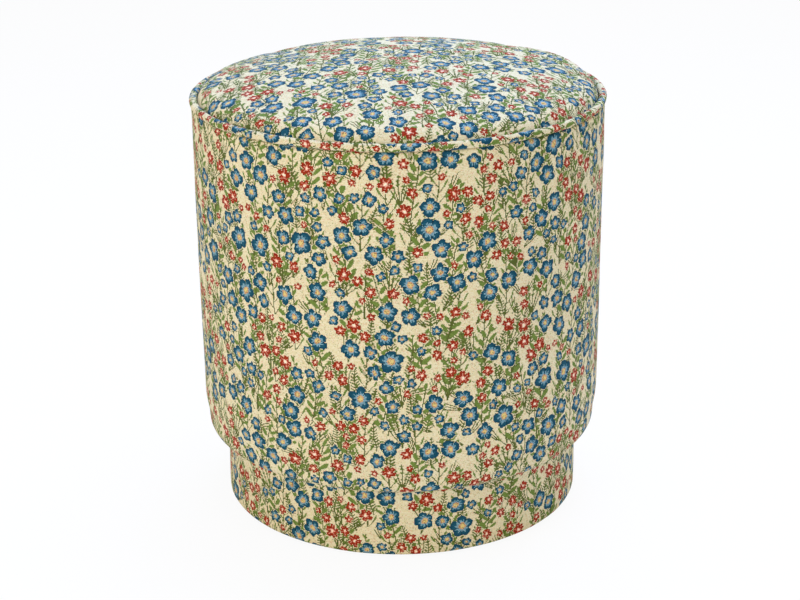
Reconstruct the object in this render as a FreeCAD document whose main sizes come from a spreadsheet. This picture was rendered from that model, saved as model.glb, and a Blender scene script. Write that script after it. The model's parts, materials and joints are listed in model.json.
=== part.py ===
import FreeCAD, Part
import math
import os
import Sketcher

# Round upholstered tuffet: a padded drum with a domed, piped seat on a narrower round plinth.
# Millimetres, +Z up. The origin is on the floor, at the middle of the plinth.

SIZES = [
    # Outer form
    ("drum_radius", 207.0, "outside of the cover on the drum's side"),
    ("drum_height", 348.5, "from the drum's underside up to the middle of the piping"),
    ("crown_height", 35.5, "top of the seat above the middle of the piping"),
    ("shoulder_height", 10.8, "height at which the dome would reach the piping's circle"),
    ("shoulder_radius", 24.0, "rounding between the dome and the piping"),
    ("roll_height", 28.5, "height of the rounded lower edge of the drum"),
    ("roll_radius", 81.0, "large arc of the rounded lower edge"),
    ("edge_radius", 12.0, "small arc where the cover turns under the drum"),
    ("plinth_step", 21.8, "from the drum's side in to the plinth's side"),
    ("plinth_height", 75.0, "from the plinth's hem up to the drum's underside"),
    ("hem_radius", 2.6, "rounding of the plinth cover's upper and lower edges"),
    # Cloth and padding
    ("cloth", 1.2, "thickness of the woven cover"),
    ("lining", 0.6, "thickness of the black cloth under the base"),
    ("piping_radius", 3.9, "outside of the piping"),
    ("piping_proud", 1.7, "how far the piping stands out from the drum"),
    ("seam_allowance", 10.0, "cloth turned in behind the piping"),
    ("seam_gap", 0.2, "room between a seam and what it lies against"),
    ("cord_gap", 0.05, "room between the cord and the cloth round it"),
    ("wadding", 6.0, "fibre layer over the seat foam"),
    ("drum_padding", 15.0, "foam wrapped round the drum"),
    ("plinth_padding", 3.0, "fibre wrapped round the plinth"),
    ("drum_hem", 34.0, "cloth turned under the drum"),
    ("plinth_hem", 26.0, "cloth turned over the plinth's rings"),
    ("lining_margin", 11.0, "from the plinth's side in to the edge of the lining"),
    # Frame
    ("shell", 3.0, "thickness of the bent hardboard round the frame"),
    ("seat_board_thickness", 12.0, "plywood under the seat"),
    ("base_board_thickness", 15.0, "plywood at the bottom of the drum"),
    ("ring_thickness", 12.0, "plywood rings of the plinth"),
    ("ring_width", 60.0, "from the outside to the inside of a plinth ring"),
    ("post_count", 6, "uprights in the drum, and blocks in the plinth"),
    ("post_width", 45.0, "upright or block, along the wall"),
    ("upright_depth", 22.0, "upright, towards the middle"),
    ("block_depth", 30.0, "plinth block, towards the middle"),
    ("post_gap", 0.3, "room between a post's corners and the shell"),
    # Screws
    ("screw_radius", 2.0, "shank"),
    ("screw_head", 4.0, "radius of the countersunk head"),
    ("screw_sink", 2.4, "depth of the countersunk head"),
    ("screw_point", 3.0, "length of the pointed tip"),
    ("screw_length", 38.0, "screws into the uprights"),
    ("ring_screw_length", 30.0, "screws into the plinth blocks"),
    ("joining_screw_length", 24.0, "screws that join the plinth to the drum"),
    ("joining_inset", 44.0, "from the outside of a ring in to the joining screws"),
    # Staples and tacks
    ("staple_wire", 0.5, "thickness of a staple"),
    ("staple_width", 10.0, "crown of a staple"),
    ("staple_leg", 7.0, "leg of a staple"),
    ("cover_staples", 24, "staples along one edge of the cover"),
    ("lining_staples", 16, "staples round the lining"),
    ("hem_inset", 8.0, "from the end of a hem to its staples"),
    ("lining_inset", 4.0, "from the edge of the lining to its staples"),
    ("tack_radius", 0.8, "shank of a shell tack"),
    ("tack_head", 2.2, "radius of a tack's head"),
    ("tack_head_depth", 0.8, "thickness of a tack's head"),
    ("tack_length", 14.0, "tacks that hold the shell to the boards"),
    ("tack_count", 16, "tacks round one board"),
    ("tack_sink", 0.1, "how far a tack's head lies below the shell's outside"),
    # Glides
    ("glide_count", 6, "glides under the plinth"),
    ("glide_height", 3.0, "height of a glide below the lining"),
    ("glide_radius", 11.0, "radius of a glide"),
    ("glide_rounding", 1.2, "rounding of a glide's edge"),
    ("glide_inset", 17.0, "from the blocks' screws in to the glides"),
    ("glide_sole", 0.9, "plastic under the nail's head"),
    ("nail_radius", 1.2, "shank of a glide's nail"),
    ("nail_head", 5.0, "radius of the nail's head"),
    ("nail_head_depth", 0.9, "thickness of the nail's head"),
    ("nail_length", 11.0, "length of the nail above the glide"),
]

doc = FreeCAD.newDocument("tuffet")
sheet = doc.addObject("Spreadsheet::Sheet", "sizes")
for row, (alias, value, note) in enumerate(SIZES, start=1):
    sheet.set("A%d" % row, alias)
    sheet.set("B%d" % row, str(value))
    sheet.set("C%d" % row, note)
    sheet.setAlias("B%d" % row, alias)
worked = doc.addObject("App::VarSet", "worked")
doc.recompute()


class Term:
    """A number together with the expression that gives it from the sheet."""

    def __init__(self, value, text):
        self.value = float(value)
        self.text = text

    def __add__(self, other):
        return joined(self, "+", other, self.value + term(other).value)

    def __radd__(self, other):
        return term(other) + self

    def __sub__(self, other):
        return joined(self, "-", other, self.value - term(other).value)

    def __rsub__(self, other):
        return term(other) - self

    def __mul__(self, other):
        return joined(self, "*", other, self.value * term(other).value)

    def __rmul__(self, other):
        return term(other) * self

    def __truediv__(self, other):
        return joined(self, "/", other, self.value / term(other).value)

    def __neg__(self):
        return 0 - self


def term(number):
    """Gives a plain number the form of a term."""
    if isinstance(number, Term):
        return number
    return Term(number, repr(float(number)))


def joined(first, sign, second, value):
    return Term(value, "(%s %s %s)" % (first.text, sign, term(second).text))


def size(alias):
    """A size of the sheet."""
    return Term(getattr(sheet, alias), "sizes." + alias)


def root(square):
    return Term(math.sqrt(square.value), "sqrt(%s)" % square.text)


def keep(name, formula, note):
    """Names a worked-out size, so that later expressions can use it."""
    worked.addProperty("App::PropertyFloat", name, "worked", note)
    worked.setExpression(name, formula.text)
    return Term(formula.value, "worked." + name)


# Levels, from the floor up

cloth = size("cloth")
shell = size("shell")
post_gap = size("post_gap")
lining_under = keep("lining_under", size("glide_height"), "underside of the lining")
hem_under = keep("hem_under", lining_under + size("lining"), "underside of the plinth's hem")
ring_under = keep("ring_under", hem_under + cloth, "underside of the lower ring")
block_under = keep("block_under", ring_under + size("ring_thickness"), "foot of the blocks")
drum_under = keep("drum_under", hem_under + size("plinth_height"), "underside of the drum")
ring_top = keep("ring_top", drum_under - cloth, "top of the plinth's upper ring")
block_top = keep("block_top", ring_top - size("ring_thickness"), "head of the blocks")
base_under = keep("base_under", drum_under + cloth, "underside of the base board")
base_top = keep("base_top", base_under + size("base_board_thickness"), "top of the base board")
piping_level = keep("piping_level", drum_under + size("drum_height"), "middle of the piping")
crown_top = keep("crown_top", piping_level + size("crown_height"), "top of the seat")
drum_seam = keep("drum_seam", piping_level - size("piping_radius"), "top of the drum cover")
rim = keep("rim", drum_seam - cloth, "top of the seat board, the shell and the drum's foam")
seat_under = keep("seat_under", rim - size("seat_board_thickness"), "underside of the seat board")
flange_top = keep("flange_top", drum_seam + cloth * 2, "top of the piping's flange")
seam_top = keep("seam_top", flange_top + cloth, "top of the seam's layers")

# Radii of the layers

plinth_radius = keep(
    "plinth_radius", size("drum_radius") - size("plinth_step"), "outside of the plinth's cover"
)
plinth_lining = keep("plinth_lining", plinth_radius - cloth, "inside of the plinth cover")
plinth_shell = keep("plinth_shell", plinth_lining - size("plinth_padding"), "outside of its shell")
ring_radius = keep("ring_radius", plinth_shell - shell, "outside of the plinth's rings")
drum_lining = keep("drum_lining", size("drum_radius") - cloth, "inside of the drum cover")
drum_shell = keep("drum_shell", drum_lining - size("drum_padding"), "outside of the drum's shell")
tack_face = keep("tack_face", drum_shell - size("tack_sink"), "outside of the tacks' heads")
board_radius = keep("board_radius", drum_shell - shell, "outside of the drum's boards")
piping_circle = keep(
    "piping_circle",
    size("drum_radius") + size("piping_proud") - size("piping_radius"),
    "circle of the piping's middle",
)
seam_reach = keep("seam_reach", size("piping_radius") + size("seam_gap"), "piping's middle to seam")
seam_radius = keep("seam_radius", piping_circle - seam_reach, "where the seam meets the piping")
turn_in = keep("turn_in", seam_radius - size("seam_allowance"), "inner edge of the seam's layers")
foam_foot = keep("foam_foot", turn_in - size("seam_gap"), "lower part of the seat foam")

# Piping

piping_bore = keep("piping_bore", size("piping_radius") - cloth, "inside of the piping")
cord_radius = keep("cord_radius", piping_bore - size("cord_gap"), "cord in the piping")
flange_meet = keep(
    "flange_meet",
    piping_circle
    - root(
        size("piping_radius") * size("piping_radius")
        - (flange_top - piping_level) * (flange_top - piping_level)
    ),
    "radius where the flange's upper side leaves the piping",
)

# Dome: one large arc through the top, and a shoulder arc that meets it and the piping smoothly

fall = size("crown_height") - size("shoulder_height")
dome_radius = keep("dome_radius", (piping_circle * piping_circle / fall + fall) / 2, "dome's arc")
dome_centre = keep("dome_centre", crown_top - dome_radius, "level of the dome's centre")
lift = keep("lift", piping_level - dome_centre, "dome's centre up to the piping")
reach = keep("reach", root(piping_circle * piping_circle + lift * lift), "dome's centre to piping")
inner_leg = keep("inner_leg", dome_radius - size("shoulder_radius"), "dome's to shoulder's centre")
outer_leg = keep("outer_leg", size("shoulder_radius") + seam_reach, "shoulder's centre to piping")
along = keep(
    "along",
    (inner_leg * inner_leg - outer_leg * outer_leg + reach * reach) / (reach * 2),
    "share of reach that lies before the shoulder's centre",
)
aside = keep("aside", root(inner_leg * inner_leg - along * along), "shoulder's centre off reach")
shoulder_x = keep(
    "shoulder_x",
    (along * piping_circle - aside * lift) / reach,
    "radius at the shoulder's centre",
)
shoulder_z = keep(
    "shoulder_z",
    dome_centre + (along * lift + aside * piping_circle) / reach,
    "level of the shoulder's centre",
)
touch_x = keep(
    "touch_x",
    shoulder_x + (piping_circle - shoulder_x) * size("shoulder_radius") / outer_leg,
    "radius where the seat's cloth meets the piping",
)
touch_z = keep(
    "touch_z",
    shoulder_z + (piping_level - shoulder_z) * size("shoulder_radius") / outer_leg,
    "level where the seat's cloth meets the piping",
)

# Lower edge of the drum: a large arc and a small one, each smooth with its neighbours

roll_top = keep("roll_top", drum_under + size("roll_height"), "where the drum's side turns in")
roll_x = keep("roll_x", size("drum_radius") - size("roll_radius"), "centre of the large arc")
edge_z = keep("edge_z", drum_under + size("edge_radius"), "level of the small arc's centre")
edge_leg = keep("edge_leg", size("roll_radius") - size("edge_radius"), "between the two centres")
edge_drop = keep("edge_drop", roll_top - edge_z, "small arc's centre below the large one's")
edge_x = keep(
    "edge_x",
    roll_x + root(edge_leg * edge_leg - edge_drop * edge_drop),
    "radius at the small arc's centre",
)
drum_hem_end = keep("drum_hem_end", edge_x - size("drum_hem"), "inner edge of the drum's hem")
plinth_hem_end = keep("plinth_hem_end", ring_radius - size("plinth_hem"), "inner edge of its hems")
lining_edge = keep("lining_edge", plinth_radius - size("lining_margin"), "lining's edge")

# Posts: they stand on a chord, so that their corners clear the round wall


def chord_depth(radius, width):
    """How far out a flat post reaches before its corners meet a round wall."""
    half = width / 2
    free = radius - post_gap
    return root(free * free - half * half)


upright_out = keep(
    "upright_out", chord_depth(board_radius, size("post_width")), "outer face of an upright"
)
block_out = keep(
    "block_out", chord_depth(ring_radius, size("post_width")), "outer face of a plinth block"
)
upright_middle = keep("upright_middle", upright_out - size("upright_depth") / 2, "its middle")
block_middle = keep("block_middle", block_out - size("block_depth") / 2, "a block's middle")
joining_circle = keep(
    "joining_circle", ring_radius - size("joining_inset"), "circle of the joining screws"
)
glide_circle = keep("glide_circle", block_middle - size("glide_inset"), "circle of the glides")

# Nails of the glides

nail_head_level = keep("nail_head_level", size("glide_sole"), "underside of a nail's head")
nail_neck = keep("nail_neck", nail_head_level + size("nail_head_depth"), "top of a nail's head")
doc.recompute()


AXIS_LENGTH = 10.0  # drawn length of a construction line, which stands for an endless axis


class Line:
    """A straight side of an outline that ends at a corner."""

    def __init__(self, across, up):
        self.end = (term(across), term(up))


class Arc:
    """A round side that ends at a corner. It turns left round its centre, or right if told."""

    def __init__(self, across, up, centre, radius, left=False):
        self.end = (term(across), term(up))
        self.centre = (term(centre[0]).value, term(centre[1]).value)
        self.radius = term(radius)
        self.left = left


def plane_of(body, role):
    """An origin plane or axis of a body."""
    return [feature for feature in body.Origin.OriginFeatures if feature.Role == role][0]


def tie(sketch, index, point, across, up):
    """Holds one point of a sketch at a place worked out from the sheet."""
    for kind, size_term in (("DistanceX", across), ("DistanceY", up)):
        if size_term.value == 0.0:
            axis = -2 if kind == "DistanceX" else -1
            sketch.addConstraint(Sketcher.Constraint("PointOnObject", index, point, axis))
            continue
        rule = Sketcher.Constraint(kind, -1, 1, index, point, size_term.value)
        number = sketch.addConstraint(rule)
        sketch.setExpression("Constraints[%d]" % number, size_term.text)


def drawn(sketch, sides):
    """Draws a closed outline of lines and arcs, each starting where the one before ends."""
    first = sketch.GeometryCount
    starts = []
    ends = []
    for number, side in enumerate(sides):
        here = sides[number - 1].end
        x_from, z_from = here[0].value, here[1].value
        x_to, z_to = side.end[0].value, side.end[1].value
        start, end = 1, 2
        if isinstance(side, Line):
            begin = FreeCAD.Vector(x_from, z_from, 0)
            index = sketch.addGeometry(Part.LineSegment(begin, FreeCAD.Vector(x_to, z_to, 0)))
        else:
            x_mid, z_mid = side.centre
            angle_from = math.atan2(z_from - z_mid, x_from - x_mid)
            angle_to = math.atan2(z_to - z_mid, x_to - x_mid)
            if not side.left:
                start, end = 2, 1
                angle_from, angle_to = angle_to, angle_from
            if angle_to < angle_from:
                angle_to += 2 * math.pi
            middle = FreeCAD.Vector(x_mid, z_mid, 0)
            circle = Part.Circle(middle, FreeCAD.Vector(0, 0, 1), side.radius.value)
            index = sketch.addGeometry(Part.ArcOfCircle(circle, angle_from, angle_to))
        starts.append((index, start, here))
        ends.append((index, end))
    for number, (index, point, _here) in enumerate(starts):
        before = ends[number - 1]
        sketch.addConstraint(
            Sketcher.Constraint("Coincident", before[0], before[1], index, point)
        )
    for index, point, here in starts:
        tie(sketch, index, point, here[0], here[1])
    for number, side in enumerate(sides):
        if isinstance(side, Arc):
            rule = Sketcher.Constraint("Radius", first + number, side.radius.value)
            bound = sketch.addConstraint(rule)
            sketch.setExpression("Constraints[%d]" % bound, side.radius.text)


def new_body(label, plane, lift_off=None):
    """A body with an empty sketch on one of its own planes."""
    body = doc.addObject("PartDesign::Body", label)
    body.Label = label
    sketch = body.newObject("Sketcher::SketchObject", label + "_outline")
    sketch.AttachmentSupport = [(plane_of(body, plane), "")]
    sketch.MapMode = "FlatFace"
    if lift_off is not None:
        sketch.setExpression("AttachmentOffset.Base.z", lift_off.text)
    return body, sketch


def turned(label, sides, axis=None, void=None):
    """A body turned round the Z axis, or round an upright axis at a radius of its own."""
    body, sketch = new_body(label, "XZ_Plane")
    spindle = "V_Axis"
    if axis is not None:
        low = FreeCAD.Vector(axis.value, sides[0].end[1].value, 0)
        high = FreeCAD.Vector(axis.value, sides[0].end[1].value + AXIS_LENGTH, 0)
        index = sketch.addGeometry(Part.LineSegment(low, high), True)
        tie(sketch, index, 1, axis, sides[0].end[1])
        sketch.addConstraint(Sketcher.Constraint("Vertical", index))
        sketch.addConstraint(Sketcher.Constraint("DistanceY", index, 1, index, 2, AXIS_LENGTH))
        spindle = "Axis0"
    drawn(sketch, sides)
    if void is not None:
        across, up, radius = void
        middle = FreeCAD.Vector(across.value, up.value, 0)
        circle = Part.Circle(middle, FreeCAD.Vector(0, 0, 1), radius.value)
        index = sketch.addGeometry(circle)
        tie(sketch, index, 3, across, up)
        bound = sketch.addConstraint(Sketcher.Constraint("Radius", index, radius.value))
        sketch.setExpression("Constraints[%d]" % bound, radius.text)
    turn = body.newObject("PartDesign::Revolution", label + "_turn")
    turn.Profile = sketch
    turn.ReferenceAxis = (sketch, [spindle])
    turn.Angle = 360
    return body


def padded(label, sides, plane, thickness, lift_off=None, midplane=False):
    """A body of one thickness, drawn on one of its own planes."""
    body, sketch = new_body(label, plane, lift_off)
    drawn(sketch, sides)
    pad = body.newObject("PartDesign::Pad", label + "_pad")
    pad.Profile = sketch
    pad.Length = thickness.value
    pad.setExpression("Length", thickness.text)
    pad.Midplane = midplane
    return body


def repeated(body, count):
    """Repeats a body's only feature round the Z axis."""
    pattern = body.newObject("PartDesign::PolarPattern", body.Label + "_circle")
    pattern.Originals = [body.Group[-2]]
    pattern.Axis = (plane_of(body, "Z_Axis"), [""])
    pattern.Angle = 360
    pattern.setExpression("Occurrences", "sizes." + count)
    body.Tip = pattern
    return body


def box_sides(low_x, high_x, low_y, high_y):
    """The four sides of a rectangle."""
    return [
        Line(high_x, low_y),
        Line(high_x, high_y),
        Line(low_x, high_y),
        Line(low_x, low_y),
    ]


def disc(label, inner, outer, low, high):
    """A flat disc, or a ring if its inner radius isn't nothing."""
    return turned(label, box_sides(inner, outer, low, high))


pieces = []


def piece(made, label=None):
    """Puts a finished sub-part on the list that is written out."""
    if label is not None:
        made.Label = label
    pieces.append(made)
    return made


def drilled(label, blank, tools):
    """A sub-part with the holes of the fasteners that go through it."""
    blank.Label = label + "_blank"
    group = tools[0]
    if len(tools) > 1:
        group = doc.addObject("Part::Compound", label + "_fasteners")
        group.Links = tools
    cut = doc.addObject("Part::Cut", label + "_drilled")
    cut.Base = blank
    cut.Tool = group
    return piece(cut, label)


# Screws


def screws(label, circle, head_level, length, up):
    """Countersunk screws on a circle, flush with a board and pointing up or down."""
    way = 1 if up else -1
    shank = circle + size("screw_radius")
    neck = head_level + size("screw_sink") * way
    tip = head_level + length * way
    shoulder = tip - size("screw_point") * way
    sides = [
        Line(circle + size("screw_head"), head_level),
        Line(shank, neck),
        Line(shank, shoulder),
        Line(circle, tip),
        Line(circle, head_level),
    ]
    body = turned(label, sides, axis=circle)
    doc.recompute()
    return repeated(body, "post_count")


seat_screws = piece(
    screws("seat_board_screws", upright_middle, rim, size("screw_length"), False)
)
base_screws = piece(
    screws("base_board_screws", upright_middle, base_under, size("screw_length"), True)
)
lower_ring_screws = piece(
    screws("lower_ring_screws", block_middle, ring_under, size("ring_screw_length"), True)
)
upper_ring_screws = piece(
    screws("upper_ring_screws", block_middle, ring_top, size("ring_screw_length"), False)
)
joining_screws = piece(
    screws("joining_screws", joining_circle, block_top, size("joining_screw_length"), True)
)

# Staples, flush with the cloth that they hold


def staples(label, circle, crown_level, up, count):
    """Staples on a circle, each with its crown along the edge that it holds."""
    way = 1 if up else -1
    wire = size("staple_wire")
    half = size("staple_width") / 2
    crown = crown_level + wire * way
    tip = crown_level + size("staple_leg") * way
    sides = [
        Line(half, crown_level),
        Line(half, tip),
        Line(half - wire, tip),
        Line(half - wire, crown),
        Line(wire - half, crown),
        Line(wire - half, tip),
        Line(-half, tip),
        Line(-half, crown_level),
    ]
    body = padded(label, sides, "YZ_Plane", wire, lift_off=circle, midplane=True)
    doc.recompute()
    return repeated(body, count)


drum_hem_staples = piece(
    staples("drum_hem_staples", drum_hem_end + size("hem_inset"), drum_under, True, "cover_staples")
)
plinth_top_staples = piece(
    staples(
        "plinth_top_staples",
        plinth_hem_end + size("hem_inset"),
        drum_under,
        False,
        "cover_staples",
    )
)
plinth_hem_staples = piece(
    staples(
        "plinth_hem_staples",
        plinth_hem_end + size("hem_inset"),
        hem_under,
        True,
        "cover_staples",
    )
)
lining_staples = piece(
    staples(
        "lining_staples",
        lining_edge - size("lining_inset"),
        lining_under,
        True,
        "lining_staples",
    )
)

# Tacks that hold the shells, driven in towards the middle


def tacks(label, outside, level):
    """Tacks on a circle, lying level with their heads flush with the shell."""
    tack, head = size("tack_radius"), size("tack_head")
    body, sketch = new_body(label, "XZ_Plane")
    sides = [
        Line(outside - size("tack_length"), level + tack),
        Line(outside - size("tack_head_depth"), level + tack),
        Line(outside - size("tack_head_depth"), level + head),
        Line(outside, level + head),
        Line(outside, level),
        Line(outside - size("tack_length"), level),
    ]
    low = FreeCAD.Vector(outside.value - AXIS_LENGTH, level.value, 0)
    high = FreeCAD.Vector(outside.value, level.value, 0)
    index = sketch.addGeometry(Part.LineSegment(low, high), True)
    tie(sketch, index, 2, outside, level)
    sketch.addConstraint(Sketcher.Constraint("Horizontal", index))
    sketch.addConstraint(Sketcher.Constraint("DistanceX", index, 1, index, 2, AXIS_LENGTH))
    drawn(sketch, sides)
    turn = body.newObject("PartDesign::Revolution", label + "_turn")
    turn.Profile = sketch
    turn.ReferenceAxis = (sketch, ["Axis0"])
    turn.Angle = 360
    body.setExpression("Placement.Rotation.Angle", "180 / sizes.tack_count")
    doc.recompute()
    return repeated(body, "tack_count")


seat_tacks = piece(
    tacks("shell_top_tacks", tack_face, rim - size("seat_board_thickness") / 2)
)
base_tacks = piece(
    tacks("shell_bottom_tacks", tack_face, base_under + size("base_board_thickness") / 2)
)

# Glides and their nails

def glide_nails():
    """One nail in each glide, its head inside the plastic."""
    circle = glide_circle
    shank = circle + size("nail_radius")
    tip = lining_under + size("nail_length")
    sides = [
        Line(circle + size("nail_head"), nail_head_level),
        Line(circle + size("nail_head"), nail_neck),
        Line(shank, nail_neck),
        Line(shank, tip - size("nail_radius") * 2),
        Line(circle, tip),
        Line(circle, nail_head_level),
    ]
    body = turned("glide_nails", sides, axis=circle)
    doc.recompute()
    return repeated(body, "glide_count")


nails = piece(glide_nails())


def glide(number):
    """A round plastic glide with a rounded lower edge."""
    circle = glide_circle
    edge = circle + size("glide_radius")
    rounding = size("glide_rounding")
    sides = [
        Line(edge - rounding, 0),
        Arc(edge, rounding, (edge - rounding, rounding), rounding, left=True),
        Line(edge, lining_under),
        Line(circle, lining_under),
        Line(circle, 0),
    ]
    body = turned("glide_blank_%d" % number, sides, axis=circle)
    body.Placement.Rotation = FreeCAD.Rotation(FreeCAD.Vector(0, 0, 1), 0)
    body.setExpression("Placement.Rotation.Angle", "%d * 360 / sizes.glide_count" % (number - 1))
    return body


for number in range(1, sheet.glide_count + 1):
    drilled("glide_%d" % number, glide(number), [nails])

# Plinth

lining = disc("bottom_lining", 0, lining_edge, lining_under, hem_under)
drilled("bottom_lining", lining, [nails, lining_staples])


def plinth_ring(label, low, high):
    """One of the plinth's plywood rings."""
    return disc(label + "_ring", ring_radius - size("ring_width"), ring_radius, low, high)


drilled(
    "plinth_lower_ring",
    plinth_ring("lower", ring_under, block_under),
    [nails, lower_ring_screws, plinth_hem_staples, lining_staples],
)
drilled(
    "plinth_upper_ring",
    plinth_ring("upper", block_top, ring_top),
    [upper_ring_screws, joining_screws, plinth_top_staples],
)


def post(label, outer, depth, low, high, number):
    """A square-cut post that stands against the wall, one of a circle."""
    half = size("post_width") / 2
    sides = box_sides(outer - depth, outer, -half, half)
    body = padded(label, sides, "XY_Plane", high - low, lift_off=low)
    body.Placement.Rotation = FreeCAD.Rotation(FreeCAD.Vector(0, 0, 1), 0)
    body.setExpression("Placement.Rotation.Angle", "%d * 360 / sizes.post_count" % (number - 1))
    return body


for number in range(1, sheet.post_count + 1):
    block = post(
        "block_blank_%d" % number, block_out, size("block_depth"), block_under, block_top, number
    )
    drilled("plinth_block_%d" % number, block, [lower_ring_screws, upper_ring_screws])
    upright = post(
        "upright_blank_%d" % number, upright_out, size("upright_depth"), base_top, seat_under, number
    )
    drilled("upright_%d" % number, upright, [seat_screws, base_screws])

piece(disc("plinth_shell", ring_radius, plinth_shell, ring_under, ring_top))


def plinth_wadding():
    """The fibre between the plinth's shell and its cover."""
    fold = size("hem_radius")
    corner = plinth_radius - fold
    low, high = hem_under + fold, drum_under - fold
    return turned(
        "plinth_wadding",
        [
            Line(corner, ring_under),
            Arc(plinth_lining, low, (corner, low), fold - cloth, left=True),
            Line(plinth_lining, high),
            Arc(corner, ring_top, (corner, high), fold - cloth, left=True),
            Line(plinth_shell, ring_top),
            Line(plinth_shell, ring_under),
        ],
    )


piece(plinth_wadding())


def plinth_cover():
    """The band round the plinth, turned over the upper ring and under the lower one."""
    outside, fold = plinth_radius, size("hem_radius")
    low, high = hem_under, drum_under
    inner_fold = fold - cloth
    return turned(
        "plinth_band",
        [
            Line(outside - fold, low),
            Arc(outside, low + fold, (outside - fold, low + fold), fold, left=True),
            Line(outside, high - fold),
            Arc(outside - fold, high, (outside - fold, high - fold), fold, left=True),
            Line(plinth_hem_end, high),
            Line(plinth_hem_end, high - cloth),
            Line(outside - fold, high - cloth),
            Arc(plinth_lining, high - fold, (outside - fold, high - fold), inner_fold),
            Line(plinth_lining, low + fold),
            Arc(outside - fold, low + cloth, (outside - fold, low + fold), inner_fold),
            Line(plinth_hem_end, low + cloth),
            Line(plinth_hem_end, low),
        ],
    )


drilled(
    "plinth_cover",
    plinth_cover(),
    [plinth_hem_staples, plinth_top_staples, lining_staples],
)

# Drum

base_board = disc("base_disc", 0, board_radius, base_under, base_top)
drilled(
    "base_board",
    base_board,
    [base_screws, joining_screws, drum_hem_staples, base_tacks],
)
seat_board = disc("seat_disc", 0, board_radius, seat_under, rim)
drilled("seat_board", seat_board, [seat_screws, seat_tacks])
drum_wall = disc("drum_wall", board_radius, drum_shell, base_under, rim)
drilled("drum_shell", drum_wall, [seat_tacks, base_tacks])


def rolled_edge(inset):
    """The drum's rounded lower edge at some depth below its surface, from the side down."""
    large, small = size("roll_radius") - inset, size("edge_radius") - inset
    run_x, run_z = (edge_x - roll_x) / edge_leg, edge_drop / edge_leg
    return {
        "side": size("drum_radius") - inset,
        "meet": (roll_x + run_x * large, roll_top - run_z * large),
        "large": large,
        "small": small,
        "foot": drum_under + inset,
    }


def drum_foam():
    """The foam wrapped round the drum, cut to the rounded lower edge."""
    edge = rolled_edge(cloth)
    fold = size("hem_radius")
    shoulder = size("drum_radius") - fold
    return turned(
        "drum_foam",
        [
            Line(edge_x, edge["foot"]),
            Arc(*edge["meet"], (edge_x, edge_z), edge["small"], left=True),
            Arc(edge["side"], roll_top, (roll_x, roll_top), edge["large"], left=True),
            Line(edge["side"], drum_seam - fold),
            Arc(shoulder, rim, (shoulder, drum_seam - fold), fold - cloth, left=True),
            Line(drum_shell, rim),
            Line(drum_shell, edge["foot"]),
        ],
    )


def drum_cover():
    """The tall side panel, turned in at the piping and turned under at the foot."""
    out, back = rolled_edge(term(0)), rolled_edge(cloth)
    fold = size("hem_radius")
    inner_fold = fold - cloth
    shoulder = out["side"] - fold
    return turned(
        "drum_panel",
        [
            Line(edge_x, out["foot"]),
            Arc(*out["meet"], (edge_x, edge_z), out["small"], left=True),
            Arc(out["side"], roll_top, (roll_x, roll_top), out["large"], left=True),
            Line(out["side"], drum_seam - fold),
            Arc(shoulder, drum_seam, (shoulder, drum_seam - fold), fold, left=True),
            Line(turn_in, drum_seam),
            Line(turn_in, rim),
            Line(shoulder, rim),
            Arc(back["side"], drum_seam - fold, (shoulder, drum_seam - fold), inner_fold),
            Line(back["side"], roll_top),
            Arc(*back["meet"], (roll_x, roll_top), back["large"]),
            Arc(edge_x, back["foot"], (edge_x, edge_z), back["small"]),
            Line(drum_hem_end, back["foot"]),
            Line(drum_hem_end, out["foot"]),
        ],
    )


piece(drum_foam())
drilled("drum_cover", drum_cover(), [drum_hem_staples])

# Seat


def dome(inset, level):
    """The seat's dome at some depth below its surface, down to a level."""
    arc, shoulder = dome_radius - inset, size("shoulder_radius") - inset
    run_x, run_z = shoulder_x / inner_leg, (shoulder_z - dome_centre) / inner_leg
    rise = level - shoulder_z
    return {
        "top": crown_top - inset,
        "meet": (run_x * arc, dome_centre + run_z * arc),
        "arc": arc,
        "shoulder": shoulder,
        "foot": shoulder_x + root(shoulder * shoulder - rise * rise),
    }


shoulder_centre = (shoulder_x, shoulder_z)
dome_middle = (term(0), dome_centre)


def seat_cover():
    """The domed panel, with its seam turned in on top of the piping's flange."""
    out, back = dome(term(0), seam_top), dome(cloth, seam_top)
    return turned(
        "seat_cover",
        [
            Line(turn_in, flange_top),
            Line(seam_radius, flange_top),
            Line(touch_x, touch_z),
            Arc(*out["meet"], shoulder_centre, out["shoulder"], left=True),
            Arc(0, out["top"], dome_middle, out["arc"], left=True),
            Line(0, back["top"]),
            Arc(*back["meet"], dome_middle, back["arc"]),
            Arc(back["foot"], seam_top, shoulder_centre, back["shoulder"]),
            Line(turn_in, seam_top),
        ],
    )


def seat_wadding():
    """The fibre layer between the foam and the cover."""
    out, back = dome(cloth, seam_top), dome(cloth + size("wadding"), seam_top)
    return turned(
        "seat_wadding",
        [
            Line(out["foot"], seam_top),
            Arc(*out["meet"], shoulder_centre, out["shoulder"], left=True),
            Arc(0, out["top"], dome_middle, out["arc"], left=True),
            Line(0, back["top"]),
            Arc(*back["meet"], dome_middle, back["arc"]),
            Arc(back["foot"], seam_top, shoulder_centre, back["shoulder"]),
        ],
    )


def seat_foam():
    """The crowned foam block on the seat board."""
    out = dome(cloth + size("wadding"), seam_top)
    return turned(
        "seat_foam",
        [
            Line(foam_foot, rim),
            Line(foam_foot, seam_top),
            Line(out["foot"], seam_top),
            Arc(*out["meet"], shoulder_centre, out["shoulder"], left=True),
            Arc(0, out["top"], dome_middle, out["arc"], left=True),
            Line(0, rim),
        ],
    )


piece(seat_foam())
piece(seat_wadding())
piece(seat_cover())

# Piping: a strip of the cover's cloth round a cord, with its flange turned in

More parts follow.
